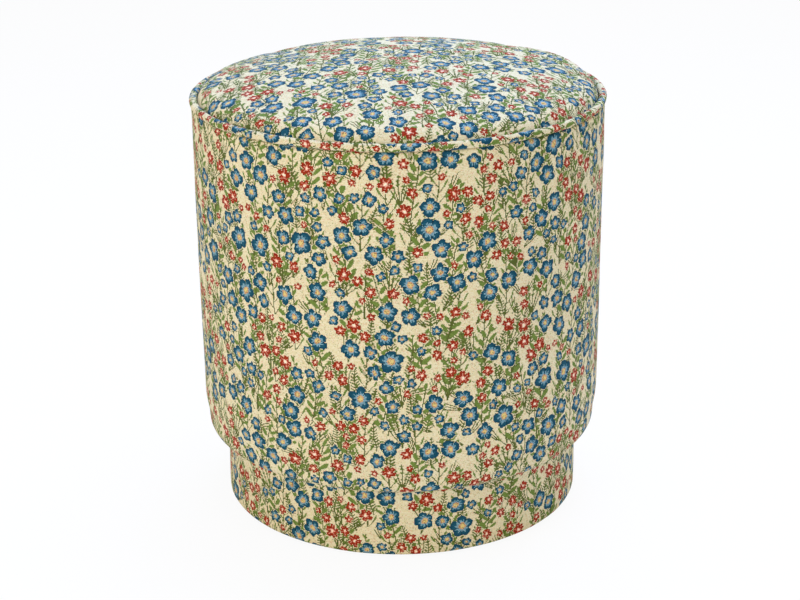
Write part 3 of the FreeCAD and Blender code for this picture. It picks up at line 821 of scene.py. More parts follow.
@dataclass(frozen=True)
class Motif:
    """A place seen from the motif that it belongs to."""

    tree: Tree
    across: Sig
    up: Sig
    reach: Sig
    turn: Sig
    there: Sig

    def polar(self) -> tuple[Sig, Sig]:
        """Distance from the motif's middle, and the angle round it."""
        place = self.tree.joined(self.across, self.up)
        far = self.tree.vector("LENGTH", place, out=1)
        return far, self.tree.math("ARCTAN2", self.up, self.across)

    def either(self, first: Sig, second: Sig) -> Sig:
        """Joins two masks."""
        return self.tree.math("MAXIMUM", first, second)

    def green(self, kind: Kind) -> tuple[Sig, Sig | None]:
        """Masks of a green's stems and leaves, by the method that the kind names."""
        return getattr(self, kind.value)()

    def axis(self, bend: float) -> tuple[Sig, Sig, Sig, Sig]:
        """Follows a bent axis.

        Args:
            bend: How far the tip leans over, as a share of the length.

        Returns:
            The run from the foot, its share of the length, the offset, and a mask of the length.
        """
        run = self.up + self.reach / 2
        share = run / self.reach
        way = self.tree.math("SINE", self.turn * 23.0)
        off = self.across - share * share * way * self.reach * bend
        return run, share, off, (share > 0.0) * (share < 1.0) * self.there

    def spread(
        self, spread: float, curve: float, stems: int, shorter: float, thick: float
    ) -> tuple[Sig, Sig, Sig, Sig, Sig]:
        """Lines that fan out from one foot.

        Args:
            spread: The gap between two lines at their tips.
            curve: The power by which the gap grows.
            stems: How many lines stand on each side of the middle one.
            shorter: By how much of the length each further line is shorter.
            thick: Half a line's width.

        Returns:
            A mask of the lines, the run, the gap there, the offset and the line's number.
        """
        run = self.up + self.reach / 2
        share = self.tree.math("MAXIMUM", run / self.reach, 0.001)
        gap = share**curve * spread
        stem = self.tree.math("ROUND", self.across / gap)
        off = abs(self.across - stem * gap)
        far = self.tree.vector("LENGTH", self.tree.joined(self.across, run), out=1)
        inside = (abs(stem) < stems + 0.5) * (run > 0.0) * self.there
        inside = inside * (far < self.reach * (1.0 - abs(stem) * shorter))
        return (off < thick) * inside, run, gap, off * inside + (1.0 - inside) * 99.0, stem

    def fan(self) -> tuple[Sig, Sig | None]:
        """Stems that spread and curve outwards from one foot, with small leaves on them."""
        shape = (FAN_SPREAD, FAN_CURVE, FAN_STEMS, FAN_SHORTER, 0.6)
        lines, run, gap, off, stem = self.spread(*shape)
        dash = ((run + stem * 1.7) % 3.8) < 1.4
        leaves = (off < 2.0) * (off > 0.5) * dash * (gap > 4.6)
        return lines, leaves

    def grass(self) -> tuple[Sig, Sig | None]:
        """Three thin blades that spread from one foot."""
        lines, _run, _gap, _off, _stem = self.spread(3.4, 0.6, 1, 0.16, 0.5)
        return lines, None

    def branch(self) -> tuple[Sig, Sig | None]:
        """A tall stem whose side branches curve upwards and end in a leaf."""
        run, share, off, inside = self.axis(0.08)
        side = abs(off)
        slid = (run - side * 0.9 - side * side * 0.06 + (off > 0.0) * 5.6) % 11.2
        near = abs(slid - 5.6)
        span = 8.8 * (1.1 - share)
        shoot = (near < 0.7) * (side < span)
        past = (side - span) / 2.4
        bud = near * near / 4.6 + past * past < 1.0
        return self.either(side < 0.62, shoot) * inside, bud * inside * (share > 0.06)

    def fern(self) -> tuple[Sig, Sig | None]:
        """A frond with thin slanted leaflets on both sides."""
        run, share, off, inside = self.axis(0.18)
        side = abs(off)
        slid = (run - side * 0.6) % 3.0
        span = (1.0 - share) ** 0.6 * 5.8 + 0.6
        leaves = (slid < 1.35) * (side < span) * (share > 0.13) * inside
        return (side < 0.6) * inside, leaves

    def sprig(self) -> tuple[Sig, Sig | None]:
        """A stem with oval leaves, which stand by turns on either side."""
        run, share, off, inside = self.axis(0.22)
        side = abs(off)
        slid = (run - side * 0.7 + (off > 0.0) * 4.4) % 8.8
        long = (side - 5.2) / (4.8 - share * 1.6)
        wide = (slid - 4.4) / (3.0 - share * 0.6)
        leaves = (long * long + wide * wide < 1.0) * (share > 0.08) * (share < 0.9)
        tip = (run - self.reach + 3.0) / 3.0
        last = off * off / 3.0 + tip * tip < 1.0
        return (side < 0.62) * inside * (share < 0.93), self.either(leaves, last) * inside


@dataclass(frozen=True)
class LiningFinish(Finish):
    """Black bonded cloth under the base, with its grid of weld points."""

    slot: str = "lining_cloth"
    pitch: float = 1.6

    def colours(self, tree: Tree) -> dict[str, Value]:
        """Gives the values of the surface shader's sockets."""
        place = self.place(tree)
        x, y, _z = tree.split(place)
        near_x = abs((x % self.pitch) - self.pitch / 2)
        near_y = abs((y % self.pitch) - self.pitch / 2)
        point = (near_x < 0.42) * (near_y < 0.3)
        fibres = tree.cloud(place, 1.6, 4.0)
        tone = tree.ramp(fibres, (0.3, "17181a"), (0.75, "2f3033"))
        tone = tree.blend(point * 0.6, tone, "0e0f10")
        cloth = self.skin(tree, tone, 0.82 - point * 0.3, fibres - point * 0.8, 0.15, 0.7)
        return cloth | {"Specular IOR Level": 0.3}


@dataclass(frozen=True)
class CordFinish(Finish):
    """Twisted cotton cord inside the piping, with painted shade in the grooves of its twist."""

    slot: str = "cotton_cord"

    def colours(self, tree: Tree) -> dict[str, Value]:
        """Gives the values of the surface shader's sockets."""
        place = self.place(tree)
        x, y, z = tree.split(place)
        along = tree.math("ARCTAN2", y, x) * 200.0
        twist = tree.math("SINE", along * 1.4 + z * 1.6) * 0.5 + 0.5
        hair = tree.cloud(place, 2.4, 5.0)
        # Painted shade: the low parts of the twist, its grooves, are darker.
        tone = tree.ramp(twist * 0.7 + hair * 0.3, (0.1, "b9ad97"), (0.8, "ece4d3"))
        return self.skin(tree, tone, 0.95, twist + hair * 0.3, 0.4)


@dataclass(frozen=True)
class FoamFinish(Finish):
    """Open-cell upholstery foam, with painted shade in its pores."""

    slot: str = "foam"

    def colours(self, tree: Tree) -> dict[str, Value]:
        """Gives the values of the surface shader's sockets."""
        place = self.place(tree)
        cells = tree.add("ShaderNodeTexVoronoi", {}, {"Vector": place, "Scale": 0.9})
        patch = tree.cloud(place, 0.02, 2.0)
        # Painted shade: each pore is darker towards its middle, where the bump sinks.
        tone = tree.ramp(cells * 0.7 + patch * 0.3, (0.1, "cdbb85"), (0.7, "efe3bd"))
        return self.skin(tree, tone, 0.97, cells, 0.5)


@dataclass(frozen=True)
class FibreFinish(Finish):
    """Loose white polyester fibre."""

    slot: str = "fibre"

    def colours(self, tree: Tree) -> dict[str, Value]:
        """Gives the values of the surface shader's sockets."""
        place = self.place(tree)
        strands = tree.cloud(tree.vector("MULTIPLY", place, (0.5, 0.5, 2.2)), 0.8, 6.0)
        tufts = tree.cloud(place, 0.05, 3.0)
        tone = tree.ramp(strands * 0.5 + tufts * 0.5, (0.3, "d5d3cc"), (0.65, "f1f0ec"))
        return self.skin(tree, tone, 0.98, strands, 0.6)


@dataclass(frozen=True)
class WoodFinish(Finish):
    """Sawn wood: even grain for pine, thin layers on the edges for plywood."""

    slot: str = "pine"
    pale: str = "dcb985"
    dark: str = "b98a54"
    layer: float = 0.0
    stretch: tuple[float, float, float] = (1.0, 1.0, 0.06)

    def colours(self, tree: Tree) -> dict[str, Value]:
        """Gives the values of the surface shader's sockets."""
        place = self.place(tree)
        sway = tree.cloud(place, 0.015, 2.0)
        drawn = tree.vector("MULTIPLY", place, self.stretch)
        grain = tree.cloud(drawn, 0.35, 4.0)
        rings = tree.math("SINE", grain * 16.0 + sway * 12.0) * 0.5 + 0.5
        pores = tree.cloud(drawn, 1.8, 3.0)
        mixed = rings * 0.55 + pores * 0.45
        tone = tree.ramp(mixed, (0.2, self.dark), (0.75, self.pale))
        if self.layer:
            _x, _y, z = tree.split(place)
            stripe = ((z / self.layer) % 2.0) < 1.0
            normal = tree.add("ShaderNodeNewGeometry", {}, {}, "Normal")
            _nx, _ny, upright = tree.split(normal)
            edge = abs(upright) < 0.5
            tone = tree.blend(edge * stripe * 0.55, tone, self.dark)
        return self.skin(tree, tone, 0.62 + pores * 0.2, mixed, 0.2, 0.6)


@dataclass(frozen=True)
class HardboardFinish(Finish):
    """Bent brown hardboard with its pressed fibres."""

    slot: str = "hardboard"

    def colours(self, tree: Tree) -> dict[str, Value]:
        """Gives the values of the surface shader's sockets."""
        place = self.place(tree)
        fibres = tree.cloud(place, 0.7, 6.0)
        patch = tree.cloud(place, 0.03, 2.0)
        mixed = fibres * 0.6 + patch * 0.4
        tone = tree.ramp(mixed, (0.3, "5e3f26"), (0.7, "8f6843"))
        return self.skin(tree, tone, 0.55 + fibres * 0.25, fibres, 0.15, 0.6)


@dataclass(frozen=True)
class MetalFinish(Finish):
    """Plated steel of screws, nails and staples."""

    slot: str = "zinc_steel"
    tone: str = "b9bcc0"
    stain: str = "8d8f90"

    def colours(self, tree: Tree) -> dict[str, Value]:
        """Gives the values of the surface shader's sockets."""
        place = self.place(tree)
        cloud = tree.cloud(place, 0.8, 3.0)
        scratch = tree.cloud(tree.vector("MULTIPLY", place, (4.0, 4.0, 0.4)), 1.2, 2.0)
        tone = tree.blend(cloud, self.tone, self.stain)
        metal = self.skin(tree, tone, 0.25 + scratch * 0.25, scratch, 0.03, 0.5)
        return metal | {"Metallic": 1.0}


@dataclass(frozen=True)
class PlasticFinish(Finish):
    """Moulded black plastic of the glides, dulled on the sole."""

    slot: str = "glide_plastic"

    def colours(self, tree: Tree) -> dict[str, Value]:
        """Gives the values of the surface shader's sockets."""
        place = self.place(tree)
        _x, _y, z = tree.split(place)
        grain = tree.cloud(place, 2.2, 3.0)
        rubbed = tree.fit(z, 0.0, 0.5, 1.0, 0.0) * tree.cloud(place, 0.5, 4.0)
        tone = tree.blend(rubbed * 0.6, "1a1a1b", "4b4a48")
        return self.skin(tree, tone, 0.42 + rubbed * 0.4, grain, 0.05, 0.5)


TAPESTRY = TapestryFinish()
LINING = LiningFinish()
GLIDE = PlasticFinish()
FOAM = FoamFinish()
FIBRE = FibreFinish()
WIRE = MetalFinish(slot="staple_wire", tone="c4c6c8", stain="9b9d9f")


# Meshes


def stand(name: str, data: bpy.types.ID) -> bpy.types.Object:
    """Puts a new object in the scene, at the origin."""
    made = bpy.data.objects.new(name, data)
    bpy.context.scene.collection.objects.link(made)
    return made


def plain_object(mesh: bpy.types.Mesh, finish: Finish) -> bpy.types.Object:
    """Puts a mesh in the scene as a dressed piece.

    Args:
        mesh: The mesh, whose name the piece takes.
        finish: Its finish.

    Returns:
        The object, at the origin.
    """
    piece = stand(mesh.name, mesh)
    mesh.materials.clear()
    mesh.materials.append(finish.material())
    smoothed(mesh)
    mesh.update()
    return piece


def smoothed(mesh: bpy.types.Mesh) -> None:
    """Shades a mesh smooth."""
    mesh.polygons.foreach_set("use_smooth", np.ones(len(mesh.polygons), bool))


def settle(piece: bpy.types.Object, finish: Finish, *nodes: str) -> None:
    """Lets a piece ride on the body and stand for its CAD nodes, which it hides."""
    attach(piece, BODY)
    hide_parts(*nodes)
    LOG.info("%s: %d faces", piece.name, len(piece.data.polygons))


def plain_mesh(name: str, points: Sequence, faces: Sequence) -> bpy.types.Mesh:
    """Makes a mesh from points in metres and faces."""
    mesh = bpy.data.meshes.new(name)
    mesh.from_pydata(points, [], faces)
    return mesh


def ready_mesh(piece: bpy.types.Object) -> bpy.types.Mesh:
    """The plain mesh that a piece's modifiers make. It takes the modifiers off."""
    graph = bpy.context.evaluated_depsgraph_get()
    ready = piece.evaluated_get(graph)
    made = bpy.data.meshes.new_from_object(ready, preserve_all_data_layers=True, depsgraph=graph)
    piece.modifiers.clear()
    return made


def numbers(items: Sequence, title: str, width: int, kind: type = np.float64) -> np.ndarray:
    """Reads one property of many items, as rows of some width."""
    found = np.empty(len(items) * width, kind)
    items.foreach_get(title, found)
    return found.reshape(-1, width)


def lay_map(mesh: bpy.types.Mesh, title: str, places: Sequence | np.ndarray) -> None:
    """Lays a UV map, with one place for each corner of the faces."""
    layer = mesh.uv_layers.get(title) or mesh.uv_layers.new(name=title)
    layer.data.foreach_set("uv", np.asarray(places, np.float32).ravel())


def round_point(radius: float, turn: float, level: float) -> tuple[float, float, float]:
    """The place in metres of a point, by its angle round the axis from the back."""
    return -radius * math.sin(turn) * MM, radius * math.cos(turn) * MM, level * MM


@dataclass(frozen=True)
class Wave:
    """Smooth unevenness round the axis: its pace, its seed and its depth in millimetres."""

    around: float
    upward: float
    seed: float
    depth: float

    def at(self, turn: float, level: float) -> float:
        """The unevenness at an angle and a level. It closes on itself round the axis."""
        x, y = math.cos(turn) * self.around, math.sin(turn) * self.around
        return noise.noise(Vector((x, y, level * self.upward + self.seed))) * self.depth


@dataclass(frozen=True)
class Seam:
    """The closing seam at the back: a groove between two soft swells."""

    groove: float
    swell: float
    groove_width: float = 1.6
    swell_width: float = 6.0

    def at(self, turn: float, radius: float) -> float:
        """How deep the cloth lies at an angle from the back."""
        off = abs((turn + math.pi) % math.tau - math.pi) * radius
        groove = math.exp(-((off / self.groove_width) ** 2)) * self.groove
        return groove - math.exp(-((off / self.swell_width) ** 2)) * self.swell


# Covers


# A profile's radius, level, looseness and whether it shows.
Mark = tuple[float, float, float, bool]


@dataclass(frozen=True)
class Station:
    """A mark of a profile with the cloth's run up to it. Looseness is how far it may ripple."""

    radius: float
    level: float
    run: float
    loose: float
    shown: bool


def marked(points: Sequence[tuple[float, float]], loose: float, shown: bool = True) -> list[Mark]:
    """Gives points of a profile their looseness, and says whether they show."""
    return [(radius, level, loose, shown) for radius, level in points]


def line(start: tuple[float, float], end: tuple[float, float], steps: int) -> list[tuple[float, float]]:
    """Points on a straight part of a profile, both ends included."""
    rise, fall = end[0] - start[0], end[1] - start[1]
    return [(start[0] + rise * n / steps, start[1] + fall * n / steps) for n in range(steps + 1)]


def arc(
    centre: tuple[float, float], radius: float, start: float, end: float, steps: int
) -> list[tuple[float, float]]:
    """Points on a round part of a profile, from one angle to another in degrees."""
    turns = [math.radians(start + (end - start) * n / steps) for n in range(steps + 1)]
    return [(centre[0] + radius * math.cos(a), centre[1] + radius * math.sin(a)) for a in turns]


def measured(marks: list[Mark]) -> list[Station]:
    """Measures the cloth's run along the marks of a profile."""
    stations = []
    run = 0.0
    for mark, before in zip(marks, marks[:1] + marks[:-1]):
        run += math.dist(mark[:2], before[:2])
        stations.append(Station(*mark[:2], run, *mark[2:]))
    return stations


@dataclass
class Wrap:
    """Cloth wrapped once round the axis, closed by an upright seam at the back."""

    name: str
    stations: list[Station]
    columns: int
    cloth_radius: float
    spot: Callable[[Station, float], tuple[float, float]]
    lift: float = 0.0
    bake_rows: int = 2
    bake_edge: float = 0.004
    bake_shown: float = 0.91
    bake_hidden: tuple[float, float] = (0.93, 0.06)

    def __post_init__(self) -> None:
        """Measures the cloth's shown run, and its whole run with the face that closes it."""
        self.longest = max(station.run for station in self.stations if station.shown)
        self.whole = self.stations[-1].run + 1.0

    def mesh(self) -> bpy.types.Mesh:
        """Builds the closed skin with its cloth map and its bake map.

        Returns:
            The mesh, in metres.
        """
        count = len(self.stations)
        points = []
        for column in range(self.columns):
            turn = math.tau * column / self.columns
            for station in self.stations:
                radius, level = self.spot(station, turn)
                points.append(round_point(radius, turn, level))
        faces, cloth, bake = [], [], []
        for column in range(self.columns):
            here, after = column * count, (column + 1) % self.columns * count
            for level in range(count):
                above = (level + 1) % count
                faces.append((here + level, after + level, after + above, here + above))
                last = above == 0
                shown = self.stations[level].shown and self.stations[above].shown and not last
                for side, station in ((0, level), (1, level), (1, above), (0, above)):
                    closing = last and station == 0
                    run = self.whole if closing else self.stations[station].run
                    turn = (column + side) / self.columns
                    cloth.append((turn * math.tau * self.cloth_radius * MM, (self.lift + run) * MM))
                    bake.append(self.baked(turn, column, run, shown))
        mesh = plain_mesh(self.name, points, faces)
        lay_map(mesh, CLOTH_MAP, cloth)
        lay_map(mesh, BAKE_MAP, bake)
        return mesh

    def baked(self, turn: float, column: int, run: float, shown: bool) -> tuple[float, float]:
        """A place on the bake map, on which the cloth lies in rows with its hidden part above.

        Args:
            turn: The angle from the back, as a share of the whole turn.
            column: The column of faces.
            run: The cloth's run.
            shown: Whether the face shows.

        Returns:
            The place.
        """
        row = min(int(column * self.bake_rows / self.columns), self.bake_rows - 1)
        across = self.bake_edge + (turn * self.bake_rows - row) * (1.0 - self.bake_edge * 2)
        if shown:
            up = self.bake_edge + run / self.longest * self.bake_shown
        else:
            start, share = self.bake_hidden
            up = start + (run - self.longest) / (self.whole - self.longest) * share
        return across, (row + up) / self.bake_rows

    def piece(self, finish: Finish, node: str, fill: float) -> None:
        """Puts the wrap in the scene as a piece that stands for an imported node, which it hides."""
        made = plain_object(self.mesh(), finish)
        settle(made, finish, node)


@dataclass
class Drum:
    """The tall padded side of the tuffet with its rounded lower edge."""

    radius: float = 207.0
    under: float = 78.6
    roll_top: float = 107.1
    roll_radius: float = 81.0
    edge_radius: float = 12.0
    top: float = 423.2
    corner: float = 2.6
    cloth: float = 1.2
    turned_in: float = 190.7
    shell: float = 190.9
    slack: float = 0.4
    hem: float = 34.0
    columns: int = 480
    levels: int = 84
    closer_at_top: float = 1.35
    tight_at_top: float = 14.0
    least_loose: float = 0.15
    tuck: float = 2.4
    tuck_level: float = 98.0
    tuck_width: float = 12.0
    waves: tuple[Wave, ...] = (Wave(3.2, 0.011, 4.0, 0.75), Wave(8.0, 0.02, 9.0, 0.3))
    puckers: Wave = Wave(34.0, 0.01, 2.0, 0.55)
    pucker_reach: float = 16.0
    seam: Seam = Seam(0.9, 0.35)

    def roll(self) -> tuple[tuple[float, float], tuple[float, float], float]:
        """The centres of the lower edge's small and large arc, and the angle where they meet."""
        roll_x = self.radius - self.roll_radius
        edge_z = self.under + self.edge_radius
        edge_x = roll_x + math.sqrt(
            (self.roll_radius - self.edge_radius) ** 2 - (self.roll_top - edge_z) ** 2
        )
        meet = math.degrees(math.atan2(edge_z - self.roll_top, edge_x - roll_x))
        return (edge_x, edge_z), (roll_x, self.roll_top), meet

    def profile(self) -> list[Station]:
        """The outer skin from the hem up to the seam, then the inner skin back down."""
        edge, roll, meet = self.roll()
        hem_x = edge[0] - self.hem
        inner, inner_top = self.radius - self.cloth, self.top - self.cloth
        corner_x, wall_top = self.radius - self.corner, self.top - self.corner
        wall = wall_top - self.roll_top
        marks = marked(line((hem_x, self.under), (edge[0], self.under), 4)[:-1], 0.0)
        marks += marked(arc(edge, self.edge_radius, -90, meet, 12), 0.25)
        marks += marked(arc(roll, self.roll_radius, meet, 0, 10)[1:], 0.7)
        for step in range(1, self.levels + 1):
            z = self.roll_top + wall * (1 - (1 - step / self.levels) ** self.closer_at_top)
            loose = min(1.0, (wall_top - z) / self.tight_at_top + self.least_loose)
            marks.append((self.radius, z, loose, True))
        marks += marked(arc((corner_x, wall_top), self.corner, 0, 90, 5)[1:], 0.1)
        marks += marked([(self.turned_in, self.top)], 0.0)
        fold = [(self.turned_in, inner_top), (corner_x, inner_top), (inner, wall_top)]
        marks += marked(fold, 0.0, False)
        marks += marked(line((inner, wall_top), (inner, self.roll_top), 12)[1:-1], 0.6, False)
        marks += marked(arc(roll, self.roll_radius - self.cloth, 0, meet, 5), 0.4, False)
        marks += marked(arc(edge, self.edge_radius - self.cloth, meet, -90, 5)[1:], 0.2, False)
        marks += marked([(hem_x, self.under + self.cloth)], 0.0, False)
        return measured(marks)

    def padding(self) -> list[Station]:
        """The foam under the cover: its outer skin from the foot up, then its inner wall."""
        edge, roll, meet = self.roll()
        inset = self.cloth + self.slack
        side, wall_top = self.radius - inset, self.top - self.corner
        low, high = self.under + inset, self.top - inset
        marks = marked([(self.shell, low)], 0.0)
        marks += marked(arc(edge, self.edge_radius - inset, -90, meet, 8), 0.2)
        marks += marked(arc(roll, self.roll_radius - inset, meet, 0, 6)[1:], 0.5)
        marks += marked(line((side, self.roll_top), (side, wall_top), 12)[1:], 0.6)
        marks += marked([(side - 2.0, high)], 0.0)
        marks += marked(line((self.shell, high), (self.shell, low + 4.0), 3), 0.0, False)
        return measured(marks)

    def spot(self, station: Station, turn: float) -> tuple[float, float]:
        """Where the cloth lies, with the soft unevenness of cloth over foam.

        Args:
            station: The point of the profile.
            turn: The angle round the axis from the back.

        Returns:
            Radius and level.
        """
        z = station.level
        gather = math.exp(-max(self.top - 4 - z, 0.0) / self.pucker_reach)
        move = sum(wave.at(turn, z) for wave in self.waves) + self.puckers.at(turn, z) * gather
        tuck = self.tuck * math.exp(-(((z - self.tuck_level) / self.tuck_width) ** 2))
        if not station.loose:
            tuck = 0.0
        return station.radius - tuck + station.loose * (move - self.seam.at(turn, self.radius)), z

    def build(self) -> None:
        """Builds and dresses the cover and the foam under it."""
        cover = Wrap("drum_panel", self.profile(), self.columns, self.radius, self.spot)
        cover.piece(TAPESTRY, "drum_cover", 0.9)
        foam = Wrap("drum_padding", self.padding(), self.columns // 2, self.radius, self.spot)
        foam.piece(FOAM, "drum_foam", 1.0)


@dataclass
class Plinth:
    """The narrower round base with its band of cloth."""

    radius: float = 185.2
    low: float = 3.6
    high: float = 78.6
    fold: float = 2.6
    cloth: float = 1.2
    hem_end: float = 152.0
    shell: float = 181.1
    slack: float = 0.3
    columns: int = 432
    cloth_lift: float = 700.0
    waves: tuple[Wave, ...] = (Wave(3.6, 0.02, 14.0, 0.5), Wave(9.0, 0.03, 19.0, 0.2))
    staples: int = 24
    tug: float = 0.3
    tug_reach: float = 12.0
    seam: Seam = Seam(0.8, 0.3)

    def profile(self) -> list[Station]:
        """The outer skin from the lower hem to the upper one, then the inner skin back."""
        corner, inner = self.radius - self.fold, self.radius - self.cloth
        bottom, top = self.low + self.fold, self.high - self.fold
        inner_low, inner_high = self.low + self.cloth, self.high - self.cloth
        marks = marked(line((self.hem_end, self.low), (corner, self.low), 3)[:-1], 0.0)
        marks += marked(arc((corner, bottom), self.fold, -90, 0, 6), 0.3)
        marks += marked(line((self.radius, bottom), (self.radius, top), 24)[1:], 1.0)
        marks += marked(arc((corner, top), self.fold, 0, 90, 5)[1:], 0.0)
        marks += marked([(self.hem_end, self.high)], 0.0)
        marks += marked([(self.hem_end, inner_high), (corner, inner_high)], 0.0, False)
        marks += marked(line((inner, top), (inner, bottom), 6), 0.4, False)
        marks += marked([(corner, inner_low), (self.hem_end, inner_low)], 0.0, False)
        return measured(marks)

    def padding(self) -> list[Station]:
        """The fibre under the band: its outer skin from the foot up, then its inner wall."""
        inset = self.cloth + self.slack
        low, high, side = self.low + inset, self.high - inset, self.radius - inset
        marks = marked([(self.shell, low), (side - 1.0, low)], 0.0)
        marks += marked(line((side, low + 1.2), (side, high - 1.2), 6), 0.4)
        marks += marked([(side - 1.0, high)], 0.0)
        wall = [(self.shell, level) for level in (high, (low + high) / 2, low + 3.0)]
        return measured(marks + marked(wall, 0.0, False))

    def spot(self, station: Station, turn: float) -> tuple[float, float]:
        """Where the cloth lies, pulled towards the staples under the lower edge."""
        z = station.level
        move = sum(wave.at(turn, z) for wave in self.waves) - self.seam.at(turn, self.radius)
        pull = self.tug * math.exp(-max(z - self.low, 0.0) / self.tug_reach)
        return station.radius + station.loose * (move + math.cos(turn * self.staples) * pull), z

    def build(self) -> None:
        """Builds and dresses the band and the fibre under it."""
        band = Wrap("plinth_band", self.profile(), self.columns, self.radius, self.spot)
        band.lift = self.cloth_lift
        band.piece(TAPESTRY, "plinth_cover", 0.9)
        fibre = Wrap("plinth_fibre", self.padding(), self.columns // 2, self.radius, self.spot)
        fibre.piece(FIBRE, "plinth_wadding", 0.9)


# Seat


STUFFING = {
    "quality": 6,
    "mass": 0.25,
    "tension_stiffness": 30.0,
    "compression_stiffness": 30.0,
    "shear_stiffness": 12.0,
    "bending_stiffness": 1.5,
    "use_pressure": True,
    "uniform_pressure_force": 1.2,
    "shrink_min": -0.006,
}


@dataclass(frozen=True)
class Fade:
    """Lets something fade out over a distance before it ends at a radius."""

    end: float
    over: float

    def at(self, radius: float) -> float:
        """How much is left at a radius, up to 1."""
        return min(1.0, (self.end - radius) / self.over)


@dataclass(frozen=True)
class Bulge:
    """A soft rise, or a dip where its height is negative, with its middle, width and height."""

    x: float
    y: float
    width: float
    height: float

    def at(self, x: float, y: float) -> float:
        """Its height at a place."""
        off = (x - self.x) ** 2 + (y - self.y) ** 2
        return self.height * math.exp(-off / self.width**2)


@dataclass
class Seat:
    """The domed seat cover, sewn to the piping."""

    crown: float = 462.6
    piping_circle: float = 204.8
    piping_level: float = 427.1
    shoulder_height: float = 10.8
    crown_height: float = 35.5
    shoulder_radius: float = 24.0
    touch: float = 28.1
    foot: float = 425.7
    turned_in: float = 190.7
    cloth: float = 1.2
    cloth_start: tuple[float, float] = (60.0, 1210.0)
    fibre_top: float = 1.6
    fibre_rim: float = 2.0
    fibre_rim_from: float = 0.94
    fibre_foot: float = 7.15
    cells: int = 96
    most_move: float = 3.2
    sewn_from: float = 198.5
    free_within: float = 200.0
    free_over: float = 26.0
    frames: int = 20
    softness: Wave = Wave(1.6, 0.012, 30.0, 0.8)
    gathers: Wave = Wave(30.0, 1.0, 55.0, 0.55)
    gather_ring: tuple[float, float] = (188.0, 9.0)
    sunk: Bulge = Bulge(-128.0, 92.0, 62.0, -2.6)
    full: Bulge = Bulge(162.0, 80.0, 50.0, 3.0)
    soft_fade: Fade = Fade(206.0, 40.0)
    full_fade: Fade = Fade(203.0, 14.0)
    seam_fade: Fade = Fade(204.0, 30.0)
    flange_start: tuple[float, float] = (300.0, 1500.0)
    bake_disc: float = 0.496
    bake_corner: float = 0.07
    bake_hidden: float = 0.065
    hidden_radius: float = 210.0

    def __post_init__(self) -> None:
        """Works out the dome's two arcs."""
        fall = self.crown_height - self.shoulder_height
        self.dome_radius = (self.piping_circle**2 / fall + fall) / 2
        self.dome_centre = self.crown - self.dome_radius
        lift = self.piping_level - self.dome_centre
        far = math.hypot(self.piping_circle, lift)
        inner = self.dome_radius - self.shoulder_radius
        along = (inner**2 - self.touch**2 + far**2) / (far * 2)
        aside = math.sqrt(inner**2 - along**2)
        self.shoulder_x = (along * self.piping_circle - aside * lift) / far
        self.shoulder_z = self.dome_centre + (along * lift + aside * self.piping_circle) / far
        rise = self.shoulder_z - self.dome_centre
        self.turn_over = math.atan2(self.shoulder_x, rise)
        drop = self.piping_level - self.shoulder_z
        last_turn = math.pi / 2 - math.atan2(drop, self.piping_circle - self.shoulder_x)
        self.dome_run = self.dome_radius * self.turn_over
        self.whole_run = self.dome_run + self.shoulder_radius * (last_turn - self.turn_over)
        self.cloth_middle = np.array(self.cloth_start) + self.whole_run

    def on_dome(self, run: float, way: float, inset: float = 0.0) -> tuple[float, float, float]:
        """The place in metres of a point on the dome, or under it.

        Args:
            run: The run of cloth from the middle, along the outer surface.
            way: The direction from the middle.
            inset: The depth under the surface.

        Returns:
            The place.
        """
        if run <= self.dome_run:
            turn, arm = run / self.dome_radius, self.dome_radius - inset
            radius, level = arm * math.sin(turn), self.dome_centre + arm * math.cos(turn)
        else:
            turn = self.turn_over + (run - self.dome_run) / self.shoulder_radius
            arm = self.shoulder_radius - inset
            radius = self.shoulder_x + arm * math.sin(turn)
            level = self.shoulder_z + arm * math.cos(turn)
        return radius * math.cos(way) * MM, radius * math.sin(way) * MM, level * MM

    def net(self) -> list[tuple[float, float]]:
        """A net of squares pressed into a disc, as runs from the middle and their directions."""
        knots = []
        for row in range(self.cells + 1):
            for column in range(self.cells + 1):
                u, v = column / self.cells * 2 - 1, row / self.cells * 2 - 1
                x, y = u * math.sqrt(1 - v * v / 2), v * math.sqrt(1 - u * u / 2)
                run = min(math.hypot(x, y), 1.0) * self.whole_run
                knots.append((run, math.atan2(y, x)))
        return knots

    def squares(self) -> list[tuple[int, int, int, int]]:
        """The faces of the net, by the numbers of their knots."""
        row = self.cells + 1
        firsts = [n * row + column for n in range(self.cells) for column in range(self.cells)]
        return [(first, first + 1, first + row + 1, first + row) for first in firsts]

    def sheet(self) -> bpy.types.Mesh:
        """The cloth of the dome, with its cloth map."""
        net, faces = self.net(), self.squares()
        mesh = plain_mesh("seat_panel", [self.on_dome(*knot) for knot in net], faces)
        flat = [(run * math.cos(way), run * math.sin(way)) for run, way in net]
        cloth = np.array([flat[knot] for face in faces for knot in face])
        lay_map(mesh, CLOTH_MAP, (cloth + self.cloth_middle) * MM)
        return mesh

    def fibre(self, net: bpy.types.Mesh) -> bpy.types.Mesh:
        """The layer of fibre between the filled cover and the foam block.

        Args:
            net: The filled cover before it is made finer.

        Returns:
            A closed mesh.
        """
        upper, lower = [], []
        for vertex, (run, way) in zip(net.vertices, self.net()):
            rim = max(0.0, run / self.whole_run - self.fibre_rim_from) / (1 - self.fibre_rim_from)
            depth = self.fibre_top + rim * self.fibre_rim
            upper.append(tuple(vertex.co - vertex.normal * depth * MM))
            lower.append(self.on_dome(run, way, self.fibre_foot))
        count, row = len(upper), self.cells + 1
        faces = self.squares()
        faces += [tuple(count + knot for knot in reversed(face)) for face in faces]
        rim_knots = list(range(row))
        rim_knots += [n * row + self.cells for n in range(1, row)]
        rim_knots += [self.cells * row + column for column in reversed(range(self.cells))]
        rim_knots += [n * row for n in reversed(range(1, self.cells))]
        for knot, after in zip(rim_knots, rim_knots[1:] + rim_knots[:1]):
            faces.append((after, knot, count + knot, count + after))
        return plain_mesh("seat_fibre", upper + lower, faces)

